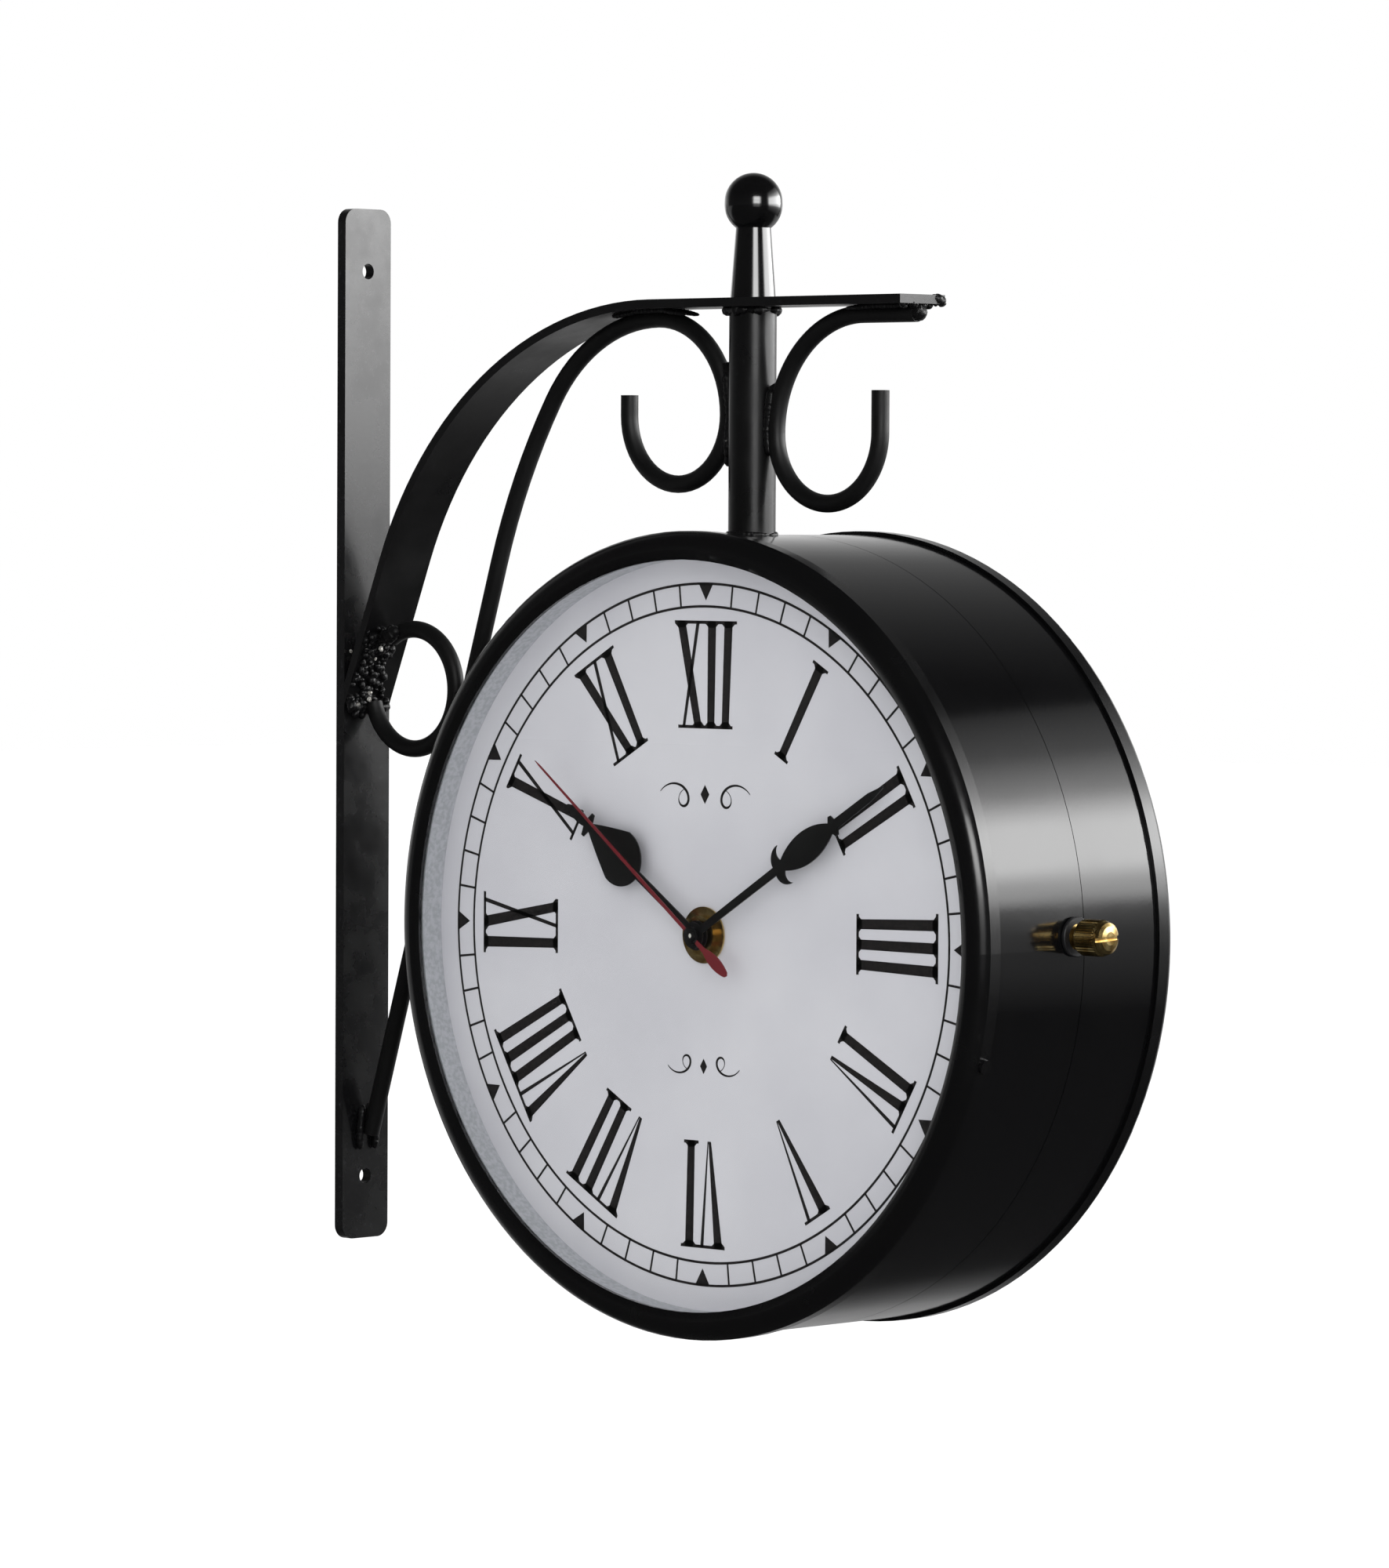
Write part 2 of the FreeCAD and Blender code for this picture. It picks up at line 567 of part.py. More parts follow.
def makeShell(side):
    inner = "shellRadius - shellWall"
    low = "halfSeam - seamSetback" if side == "front" else "halfSeam + seamSetback"
    ledgeTop = "dialFace - dialThick - seatGap"
    outline = [
        (inner, low),
        ("shellRadius", low),
        ("shellRadius", "shellEnd"),
        (inner, "shellEnd"),
        (inner, ledgeTop),
        ("ledgeInner", ledgeTop),
        ("ledgeInner", ledgeTop + " - ledgeThick"),
        (inner, ledgeTop + " - ledgeThick"),
    ]
    shell = turned(side + "ShellTurned", outline)
    holes = [bezelScrewTool(side, "ShellHole", "bezelScrewShank + threadFit", "shellRadius - drillRun",
                            "2 * drillRun")]
    if side == "front":
        holes.append(cylinder("thumbHole", "thumbShank + threadFit", "2 * drillRun", "shellRadius - drillRun",
                              "thumbRise", "thumbForward", vector(1, 0, 0)))
        holes.append(cylinder("poleHole", "tieRadius + tieClearance", "2 * drillRun", "0",
                              "shellRadius - drillRun", "drumSetback", vector(0, 1, 0)))
    shell = cut(side + "ShellPierced", shell, holes)
    if side == "front":
        # the pin that keeps the nut plate from turning is welded to the inside of the front shell
        pin = cylinder("guidePin", "guideRadius", "shellRadius - shellWall / 2 - guideEnd", "guideEnd",
                       "thumbRise", "guideForward", vector(1, 0, 0))
        shell = fuse("frontShellPinned", [shell, pin])
    node(shell, side + "_shell", side)


def makeLapRing():
    # in the rear face frame: the thin part reaches forward under the front shell, the rest is welded
    # inside the rear shell, and an open slot takes the thumbscrew's shank
    inner = "shellRadius - shellWall - lapPlay - lapWall"
    outer = "shellRadius - shellWall - lapPlay"
    seat = "shellRadius - shellWall - weldGap"
    outline = [
        (inner, "- lapFront"),
        (outer, "- lapFront"),
        (outer, "lapStep"),
        (seat, "lapStep"),
        (seat, "lapRear"),
        (inner, "lapRear"),
    ]
    blank = turned("lapRingTurned", outline)
    half = "( thumbShank + slotPlay )"
    slotMouth = box("lapSlotMouth", "2 * drillRun", "2 * " + half, "lapFront - thumbForward + drillRun",
                    "- shellRadius - lapWall", "thumbRise - " + half, "- lapFront - drillRun")
    slotEnd = cylinder("lapSlotEnd", half, "2 * drillRun", "- shellRadius - lapWall",
                       "thumbRise", "- thumbForward", vector(1, 0, 0))
    node(cut("lapRing", blank, [slotMouth, slotEnd]), "lap_ring", "rear")


def makeBezel(side):
    skirt = "shellRadius + bezelPlay"
    glassEdge = "glassRadius + glassPlay"
    outline = [
        (skirt, "skirtEnd"),
        ("bezelRadius", "skirtEnd"),
        ("bezelRadius", "bezelShoulder"),
        ("lipRadius", "lipFace"),
        ("lipRadius", "lipFace - lipThick"),
        (glassEdge, "lipFace - lipThick"),
        (glassEdge, "shellEnd + bezelSeat"),
        (skirt, "shellEnd + bezelSeat"),
    ]
    blank = turned(side + "BezelTurned", outline, {2: "bezelArc"})
    hole = bezelScrewTool(side, "BezelHole", "bezelScrewShank + threadFit", "shellRadius - drillRun",
                          "2 * drillRun")
    node(cut(side + "Bezel", blank, [hole]), side + "_bezel", side)


def makeBezelScrew(side):
    shank = bezelScrewTool(side, "ScrewShank", "bezelScrewShank",
                           "bezelRadius - bezelScrewLength", "bezelScrewLength + bezelScrewProud / 2")
    head = bezelScrewTool(side, "ScrewHead", "bezelScrewHead", "bezelRadius + seatGap", "bezelScrewProud")
    node(fuse(side + "BezelScrew", [shank, head]), side + "_bezel_screw", side)


def disc(name, radius, low, high):
    return turned(name, [("0", low), (radius, low), (radius, high), ("0", high)])


def makeDialStack(side):
    glassTop = "lipFace - lipThick - seatGap"
    glass = disc(side + "Glass", "glassRadius", glassTop + " - glassThick", glassTop)
    node(glass, side + "_glass", side)
    spacer = ring(side + "Spacer", "glassRadius", "spacerInner", "dialFace + seatGap",
                  glassTop + " - glassThick - seatGap")
    node(spacer, side + "_spacer", side)
    dial = ring(side + "Dial", "dialRadius", "bushRadius + seatGap", "dialFace - dialThick", "dialFace")
    node(dial, side + "_dial", side)


def makeThumbLatch():
    # thumbscrew and nut plate, both along x in the front face frame
    outward = vector(1, 0, 0)
    collarStart = "shellRadius + seatGap"
    headStart = collarStart + " + thumbCollarLength"
    shank = cylinder("thumbShank", "thumbShank", collarStart + " - thumbShankEnd", "thumbShankEnd",
                     "thumbRise", "thumbForward", outward)
    collar = cylinder("thumbCollar", "thumbCollar", "thumbCollarLength", collarStart,
                      "thumbRise", "thumbForward", outward)
    head = cylinder("thumbHead", "thumbHead", "thumbHeadLength", headStart,
                    "thumbRise", "thumbForward", outward)
    slot = box("thumbSlot", "2 * thumbSlotDepth", "3 * thumbHead", "thumbSlotWidth",
               headStart + " + thumbHeadLength - thumbSlotDepth", "thumbRise - 1.5 * thumbHead",
               "thumbForward - thumbSlotWidth / 2")
    screw = cut("thumbScrew", fuse("thumbScrewBlank", [shank, collar, head]), [slot])
    node(screw, "thumb_screw", "front")

    plate = box("platePlain", "plateThick", "plateWidth", "plateFront - plateRear",
                "plateOuter - plateThick", "thumbRise - plateWidth / 2", "plateRear")
    thread = cylinder("plateThread", "thumbShank + threadFit", "3 * plateThick",
                      "plateOuter - 2 * plateThick", "thumbRise", "thumbForward", outward)
    guideHole = cylinder("plateGuideHole", "guideRadius + threadFit", "3 * plateThick",
                         "plateOuter - 2 * plateThick", "thumbRise", "guideForward", outward)
    node(cut("clampPlate", plate, [thread, guideHole]), "clamp_plate", "front")


def makeHingeLeaf(name, label, knuckles, leafStart, webStart):
    # drum frame: x from the drum's axis, y behind the middle, z up
    backwards = vector(0, 1, 0)
    start = "- 2 * leafReach"
    long = "4 * leafReach"
    skin = cylinder(name + "Skin", "shellRadius + weldGap + leafThick", long, "0", start, "0", backwards)
    frame = box(name + "Frame", "2 * drillRun", "leafReach", "hingeHeight",
                "- shellRadius - drillRun", leafStart, "- hingeHeight / 2")
    curved = doc.addObject("Part::MultiCommon", name + "Curved")
    curved.Shapes = [skin, frame]
    parts = [curved]
    for index, (low, height) in enumerate(knuckles):
        parts.append(cylinder("%sKnuckle%d" % (name, index + 1), "knuckleRadius", height,
                              "- hingeOffset", "seamSetback", low))
        parts.append(box("%sWeb%d" % (name, index + 1), "hingeOffset - shellRadius + leafThick", "webThick",
                         height, "- hingeOffset", webStart, low))
    inside = cylinder(name + "Inside", "shellRadius + weldGap", long, "0", start, "0", backwards)
    bore = cylinder(name + "Bore", "hingePinRadius + shaftFit", "2 * hingeHeight", "- hingeOffset",
                    "seamSetback", "- hingeHeight")
    node(cut(name + "Leaf", fuse(name + "Blank", parts), [inside, bore]), label, "drum")


def makeHinge():
    outer = "( ( hingeHeight - knuckleShare ) / 2 - knuckleGap )"
    fixed = [("- hingeHeight / 2", outer), ("knuckleShare / 2 + knuckleGap", outer)]
    moving = [("- knuckleShare / 2", "knuckleShare")]
    makeHingeLeaf("fixed", "hinge_fixed_leaf", fixed, "seamSetback - leafReach - knuckleGap",
                  "seamSetback - webThick - knuckleGap")
    makeHingeLeaf("moving", "hinge_moving_leaf", moving, "seamSetback + knuckleGap", "seamSetback + knuckleGap")
    half = "hingeHeight / 2 + pinPlay"
    pin = [cylinder("pinShank", "hingePinRadius", "2 * ( " + half + " )", "- hingeOffset", "seamSetback",
                    "- ( " + half + " )")]
    pin.append(cylinder("pinTop", "pinHeadRadius", "pinHeadThick", "- hingeOffset", "seamSetback", half))
    pin.append(cylinder("pinFoot", "pinHeadRadius", "pinHeadThick", "- hingeOffset", "seamSetback",
                        "- ( " + half + " ) - pinHeadThick"))
    node(fuse("hingePin", pin), "hinge_pin", "drum")


# ---------------------------------------------------------------- movements

caseFront = "dialFace - dialThick - seatGap"
caseInside = caseFront + " - caseWall"
caseRear = caseFront + " - caseDepth"


def wheelPlaces():
    # centre distances from the pitch circles: teeth * module / 2
    third = vector(-(8 + 64) * size("secondModule") / 2, 0, 0)
    minute = vector(0, (12 + 36) * size("motionModule") / 2, 0)
    setting = minute + vector(0, (36 + 12) * size("motionModule") / 2, 0)
    return third, minute, setting


def makeCase(side):
    third, minute, setting = wheelPlaces()
    half = "caseSize / 2"
    body = box(side + "CaseBody", "caseSize", "caseSize", "caseDepth",
               "- " + half, "- " + half, "(" + caseRear + ")")
    train = box(side + "CaseTrain", "caseSize - 2 * caseWall", half + " + bayShelf - 2 * caseWall",
                "caseDepth", "caseWall - " + half, "caseWall - bayShelf", "(" + caseRear + ") - caseWall")
    bay = box(side + "CaseBay", "caseSize - 2 * caseWall", half + " - bayShelf - bayFloor + bayRise",
              "caseDepth", "caseWall - " + half, "bayFloor - " + half, "(" + caseRear + ") - caseWall")
    bush = cylinder(side + "CaseBush", "bushRadius", "bushLength + caseWall / 2", "0", "0",
                    "(" + caseFront + ") - caseWall / 2")
    post = cylinder(side + "CasePost", "pivotRadius - shaftFit", "postLength + caseWall / 4",
                    str(minute.x), str(minute.y), "(" + caseInside + ") - postLength")
    bore = cylinder(side + "CaseBore", "hourTubeRadius + shaftFit", "2 * caseDepth", "0", "0",
                    "(" + caseInside + ") - caseWall")
    hollow = cut(side + "CaseHollow", body, [train, bay])
    pivots = []
    for name, spot in (("Third", third), ("Setting", setting)):
        pivots.append(cylinder(side + name + "Pivot", "pivotRadius + shaftFit", "pivotHole + caseWall",
                               str(spot.x), str(spot.y), "(" + caseInside + ") - caseWall"))
    shell = cut(side + "Case", fuse(side + "CaseSolid", [hollow, bush, post]), [bore] + pivots)
    node(shell, side + "_movement_case", side)


def makeCover(side):
    third, minute, setting = wheelPlaces()
    half = "caseSize / 2"
    plate = box(side + "CoverPlate", "caseSize - 2 * caseWall - 2 * coverPlay",
                half + " + bayShelf - 2 * caseWall - 2 * coverPlay", "coverThick",
                "caseWall + coverPlay - " + half, "caseWall + coverPlay - bayShelf", "(" + caseRear + ")")
    holes = []
    spots = (("Second", vector(0, 0, 0), "pivotRadius + shaftFit"),
             ("Third", third, "pivotRadius + shaftFit"),
             ("Setting", setting, "setShaftRadius + shaftFit"))
    for name, spot, radius in spots:
        holes.append(cylinder(side + name + "CoverHole", radius, "3 * coverThick",
                              str(spot.x), str(spot.y), "(" + caseRear + ") - coverThick"))
    node(cut(side + "Cover", plate, holes), side + "_movement_cover", side)


def makeCellAndContacts(side):
    outward = vector(1, 0, 0)
    half = "caseSize / 2"
    middleY = "- ( ( " + half + " ) - bayFloor + bayShelf - bayRise ) / 2"
    middleZ = "(" + caseInside + ") - cellPlay - cellRadius"
    start = "- ( cellBody + cellNubLength ) / 2"
    can = cylinder(side + "CellCan", "cellRadius", "cellBody", start, middleY, middleZ, outward)
    nub = cylinder(side + "CellNub", "cellNubRadius", "2 * cellNubLength",
                   start + " + cellBody - cellNubLength", middleY, middleZ, outward)
    node(fuse(side + "Cell", [can, nub]), side + "_cell", side)

    wall = "( caseSize / 2 - caseWall - seatGap )"
    end = "( ( cellBody + cellNubLength ) / 2 + seatGap )"
    pieces = []
    for name, plateX, bossX, bossRadius in (
            ("Plus", wall + " - contactThick", end, "cellNubRadius - contactThick"),
            ("Minus", "- " + wall, "- " + wall, "cellNubRadius")):
        pieces.append(box(side + name + "Contact", "contactThick", "cellRadius", "cellRadius", plateX,
                          middleY + " - cellRadius / 2", middleZ + " - cellRadius / 2"))
        pieces.append(cylinder(side + name + "Boss", bossRadius, wall + " - " + end, bossX,
                               middleY, middleZ, outward))
    node(fuse(side + "Contacts", pieces), side + "_cell_contacts", side)


def makeDriveCoil(side):
    # the coil on its core plate, resting on the movement's cover
    outward = vector(1, 0, 0)
    floor = "(" + caseRear + ") + coverThick + seatGap"
    core = box(side + "CoilCore", "coilCoreLength", "coilCoreWidth", "coilCoreThick",
               "coilStart", "coilRise", floor)
    winding = cylinder(side + "CoilWinding", "coilRadius", "coilCoreLength - cheekThick",
                       "coilStart + cheekThick / 2", "coilMiddle", floor + " + coilLift", outward)
    cheeks = [box("%sCoilCheek%d" % (side, index + 1), "cheekThick", "cheekWidth", "cheekHeight", start,
                  "coilMiddle - cheekWidth / 2", floor)
              for index, start in enumerate(("coilStart", "coilStart + coilCoreLength - cheekThick"))]
    node(fuse(side + "Coil", [core, winding] + cheeks), side + "_drive_coil", side)


def makeDialNut(side):
    washerLow = "dialFace + seatGap"
    washer = ring(side + "Washer", "dialWasherRadius", "bushRadius + threadFit",
                  washerLow, washerLow + " + dialWasherThick")
    node(washer, side + "_dial_washer", side)
    nutLow = "dialFace + seatGap + seatGap + dialWasherThick"
    nut = ring(side + "Nut", "dialNutRadius", "bushRadius + threadFit", nutLow, nutLow + " + dialNutHeight")
    node(nut, side + "_dial_nut", side)


def toothedDisc(teeth, module, low, thick, toothAngle, centre=vector(0, 0, 0)):
    # narrow straight-sided teeth with room on both sides, one of them centred on toothAngle
    pitchRadius = module * teeth / 2
    root = pitchRadius - 0.95 * module
    tip = pitchRadius + 0.65 * module
    rootShare = 0.27
    tipShare = 0.11
    corners = []
    for index in range(teeth):
        for radius, share in ((root, -rootShare), (tip, -tipShare), (tip, tipShare), (root, rootShare)):
            angle = math.radians(toothAngle + (index + share) * 360 / teeth)
            corners.append(centre + vector(radius * math.cos(angle), radius * math.sin(angle), low))
    corners.append(corners[0])
    return Part.Face(Part.makePolygon(corners)).extrude(vector(0, 0, thick))


def shaft(radius, low, high, centre=vector(0, 0, 0)):
    return Part.makeCylinder(radius, high - low, centre + vector(0, 0, low))


def makeWheels(side):
    front = size("dialFace") - size("dialThick") - size("seatGap")
    rear = front - size("caseDepth")
    pivotEnd = front - size("caseWall") + size("pivotDepth")
    pivotStart = rear + size("pivotPlay")
    fit = size("shaftFit")
    thick = size("wheelThick")
    leaf = size("pinionThick")
    overlap = (leaf - thick) / 2
    third, minute, setting = wheelPlaces()
    hourLow = front - size("hourWheelDrop")
    minuteLow = front - size("minuteWheelDrop")
    centreLow = front - size("centreWheelDrop")
    thirdLow = front - size("thirdWheelDrop")
    secondLow = front - size("secondWheelDrop")

    hour = toothedDisc(40, size("hourModule"), hourLow, thick, 90 + 180 / 40)
    hour = hour.fuse(shaft(size("hourTubeRadius"), hourLow,
                           size("dialFace") + size("hourLevel") + size("handThick")))
    hour = hour.cut(shaft(size("minuteShaftRadius") + fit, hourLow - 1, front + 20))
    node(solid(side + "HourWheel", hour), side + "_hour_wheel", side)

    motion = toothedDisc(36, size("motionModule"), minuteLow, thick, -90, minute)
    pinion = toothedDisc(10, size("hourModule"), hourLow - overlap, leaf, -90, minute)
    motion = motion.fuse([pinion, shaft(2 * size("pivotRadius"), minuteLow, hourLow + thick, minute)])
    motion = motion.cut(shaft(size("pivotRadius"), minuteLow - 1, front, minute))
    node(solid(side + "MinuteWheel", motion), side + "_minute_wheel", side)

    neck = minuteLow + leaf
    centre = toothedDisc(60, size("centreModule"), centreLow, thick, 180 + 180 / 60)
    cannon = toothedDisc(12, size("motionModule"), minuteLow - overlap, leaf, 90 + 180 / 12)
    slim = shaft(size("slimShaft"), centreLow - size("slimRun"), neck)
    stout = shaft(size("minuteShaftRadius"), neck, size("dialFace") + size("minuteLevel") + size("handThick"))
    centre = centre.fuse([cannon, slim, stout])
    centre = centre.cut(shaft(size("secondShaftRadius") + fit, centreLow - 2, front + 20))
    node(solid(side + "CentreWheel", centre), side + "_centre_wheel", side)

    second = toothedDisc(60, size("drivenModule"), secondLow, thick, 0)
    pinion = toothedDisc(8, size("secondModule"), thirdLow - overlap, leaf, 180)
    step = thirdLow + leaf + size("pivotPlay")
    tip = size("dialFace") + size("secondLevel") + size("secondHandThick")
    second = second.fuse([
        pinion,
        shaft(size("pivotRadius"), pivotStart, step),
        shaft(size("secondShaftRadius"), step, tip),
    ])
    node(solid(side + "SecondWheel", second), side + "_second_wheel", side)

    pinion = toothedDisc(8, size("centreModule"), centreLow - overlap, leaf, 0, third)
    idler = toothedDisc(64, size("secondModule"), thirdLow, thick, 180 / 64, third)
    idler = idler.fuse([pinion, shaft(size("pivotRadius"), pivotStart, pivotEnd, third)])
    node(solid(side + "ThirdWheel", idler), side + "_third_wheel", side)

    knobTop = rear - size("setKnobGap")
    knobLow = knobTop - size("setKnobHeight")
    setter = toothedDisc(12, size("motionModule"), minuteLow - overlap, leaf, -90 + 180 / 12, setting)
    setter = setter.fuse([
        shaft(size("pivotRadius"), minuteLow, pivotEnd, setting),
        shaft(size("setShaftRadius"), knobLow, minuteLow, setting),
        shaft(size("setKnobRadius"), knobLow, knobTop, setting),
    ])
    node(solid(side + "SettingWheel", setter), side + "_setting_wheel", side)


# ---------------------------------------------------------------- hands

# half outlines, seen from the front with the hand at twelve: x to the right, y along the hand
hourHandSide = [
    ("line", (1.5, 33.5)),
    ("arc", (8.4, 38.6), (9.6, 45.0)),
    ("arc", (6.0, 52.4), (1.6, 60.5)),
    ("line", (4.4, 61.4)),
    ("line", (4.4, 62.6)),
    ("line", (1.5, 63.4)),
    ("arc", (2.1, 67.0), (0.3, 73.6)),
]
minuteHandSide = [
    ("line", (1.5, 43.5)),
    ("arc", (5.2, 44.8), (7.0, 48.8)),
    ("arc", (4.6, 47.0), (2.0, 47.8)),
    ("arc", (5.4, 59.5), (1.9, 72.5)),
    ("line", (3.7, 73.6)),
    ("line", (3.5, 74.8)),
    ("line", (1.7, 75.6)),
    ("line", (1.5, 93.0)),
    ("line", (0.3, 99.6)),
]


def mirroredFace(start, steps, reach, level):
    right = []
    left = []
    here = start
    for step in steps:
        points = [vector(here[0], here[1], level)] + [vector(x, y, level) for x, y in step[1:]]
        mirrored = [vector(-point.x, point.y, level) for point in points]
        if step[0] == "line":
            right.append(Part.makeLine(points[0], points[1]))
            left.append(Part.makeLine(mirrored[1], mirrored[0]))
        else:
            right.append(Part.Arc(*points).toShape())
            left.append(Part.Arc(mirrored[2], mirrored[1], mirrored[0]).toShape())
        here = step[-1]
    tip = [Part.makeLine(vector(here[0], here[1], level), vector(0, reach, level)),
           Part.makeLine(vector(0, reach, level), vector(-here[0], here[1], level))]
    foot = [Part.makeLine(vector(-start[0], start[1], level), vector(start[0], start[1], level))]
    return Part.Face(Part.Wire(right + tip + left[::-1] + foot))


def makeHand(side, name, face, level, thick, hubRadius, collar, bore, angle):
    low = size("dialFace") + size(level)
    hand = face.extrude(vector(0, 0, thick))
    hub = shaft(hubRadius, low, low + thick)
    hand = hand.fuse([hub, shaft(collar, low, low + thick + size("collarRise"))])
    if bore:
        hand = hand.cut(shaft(bore, low - 1, low + 5))
    # the turn is worked into the shape, because node() sets the placement anew
    turn = FreeCAD.Placement(vector(0, 0, 0), FreeCAD.Rotation(vector(0, 0, 1), -size(angle)))
    hand = hand.transformed(turn.toMatrix(), True)
    node(solid(side + name, hand), side + "_" + name[0].lower() + name[1:].replace("Hand", "_hand"), side)


def makeHands(side):
    press = size("pressFit")
    thick = size("handThick")
    face = mirroredFace((1.5, 2.0), hourHandSide, size("hourReach"), size("dialFace") + size("hourLevel"))
    makeHand(side, "HourHand", face, "hourLevel", thick, 5, 3.6, size("hourTubeRadius") + press, "hourAngle")
    face = mirroredFace((1.3, 2.0), minuteHandSide, size("minuteReach"),
                        size("dialFace") + size("minuteLevel"))
    makeHand(side, "MinuteHand", face, "minuteLevel", thick, 4.4, 3, size("minuteShaftRadius") + press,
             "minuteAngle")
    needle = [
        ("line", (0.6, 40.0)),
        ("line", (0.3, 90.0)),
    ]
    level = size("dialFace") + size("secondLevel")
    blade = mirroredFace((0.6, 0.0), needle, size("secondReach"), level)
    tail = [
        ("line", (0.9, -8.0)),
        ("arc", (2.2, -14.5), (1.0, -20.4)),
    ]
    blade = blade.fuse(mirroredFace((0.6, 0.0), tail, -size("secondTail"), level)).removeSplitter()
    thin = size("secondHandThick")
    makeHand(side, "SecondHand", blade, "secondLevel", thin, 3, 2.2, size("secondShaftRadius") + press,
             "secondAngle")


# ---------------------------------------------------------------- assembly

makeWallStrap()
archInner = makeArchStrap()
runStart, runDirection = makeLongScroll()
makeEndScroll()
makeBraceRing(archInner, runStart, runDirection)
makePole()
makeFinial()
makeHinge()
makeThumbLatch()
makeLapRing()
for side in ("front", "rear"):
    makeShell(side)
    makeBezel(side)
    makeBezelScrew(side)
    makeDialStack(side)
    makeCase(side)
    makeCover(side)
    makeCellAndContacts(side)
    makeDriveCoil(side)
    makeDialNut(side)
    makeWheels(side)
    makeHands(side)

doc.recompute()
failed = [item.Name for item in doc.Objects if "Invalid" in item.State or "Error" in item.State]
assert not failed, "failed: " + ", ".join(failed)
for item in nodes:
    assert not item.Shape.isNull() and item.Shape.isValid(), item.Label
    assert item.Shape.Volume > 0.1, item.Label

os.makedirs("parts", exist_ok=True)
for item in nodes:
    item.Shape.exportStep("parts/%s.step" % item.Label)
    print("%-24s %10.1f mm3 %3d solids" % (item.Label, item.Shape.Volume, len(item.Shape.Solids)))
print(len(nodes), "nodes")
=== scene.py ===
import math
import random

import bpy
import bmesh
from mathutils import Matrix, Vector


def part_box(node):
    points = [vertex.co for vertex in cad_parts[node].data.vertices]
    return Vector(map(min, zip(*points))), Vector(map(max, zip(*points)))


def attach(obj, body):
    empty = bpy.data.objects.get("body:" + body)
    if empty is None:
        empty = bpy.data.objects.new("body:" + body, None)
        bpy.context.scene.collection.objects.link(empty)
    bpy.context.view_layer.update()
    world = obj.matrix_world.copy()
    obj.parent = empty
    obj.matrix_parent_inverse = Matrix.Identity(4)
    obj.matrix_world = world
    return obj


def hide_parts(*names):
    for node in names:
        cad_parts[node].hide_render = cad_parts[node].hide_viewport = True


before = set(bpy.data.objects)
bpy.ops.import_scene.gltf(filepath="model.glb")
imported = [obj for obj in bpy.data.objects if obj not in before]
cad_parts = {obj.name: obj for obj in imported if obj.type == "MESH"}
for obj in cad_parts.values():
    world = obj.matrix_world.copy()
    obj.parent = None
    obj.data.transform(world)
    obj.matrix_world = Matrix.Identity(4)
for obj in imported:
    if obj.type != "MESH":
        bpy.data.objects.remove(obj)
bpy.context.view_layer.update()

# Double sided station clock on a scrolled wall bracket.
# Metres, +X away from the wall, the front dial faces -Y, +Z up.

mm = 0.001
print("frame loaded:", len(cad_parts), "nodes")


# nodes and colours

def hexColour(text, alpha=1.0):
    # sRGB hex to the linear values that the shaders want
    channels = [int(text[i:i + 2], 16) / 255 for i in (1, 3, 5)]
    linear = [c / 12.92 if c <= 0.04045 else ((c + 0.055) / 1.055) ** 2.4 for c in channels]
    return (*linear, alpha)


def addNode(tree, kind, settings=None, links=None):
    # settings: a property, or an input by name or number, to its value, and the stops of a colour ramp
    # links: an input to the output socket that feeds it
    node = tree.nodes.new("ShaderNode" + kind)
    for name, value in (settings or {}).items():
        if name == "stops":
            elements = node.color_ramp.elements
            while len(elements) < len(value):
                elements.new(0.5)
            for element, (position, colour) in zip(elements, value):
                element.position = position
                element.color = colour
        elif isinstance(name, str) and hasattr(node, name):
            setattr(node, name, value)
        else:
            node.inputs[name].default_value = value
    for name, socket in (links or {}).items():
        tree.links.new(socket, node.inputs[name])
    return node


def newMaterial(name):
    material = bpy.data.materials.new(name)
    material.use_nodes = True
    tree = material.node_tree
    tree.nodes.clear()
    place = addNode(tree, "TexCoord").outputs["Object"]
    return material, tree, place


def perMetre(sizeMm):
    # texture scale for a detail of this real size
    return 1 / (sizeMm * mm)


def perWave(sizeMm):
    # a wave texture turns 20 radians in a unit of scale, so lines drawn for this size stand 2 pi times it
    # apart: coarser than the real ones, which lets them show
    return perMetre(sizeMm) / 20


def grey(value):
    return (value, value, value, 1)


# sockets of a Mix node that mixes colours
colourA, colourB, mixedColour = 6, 7, 2

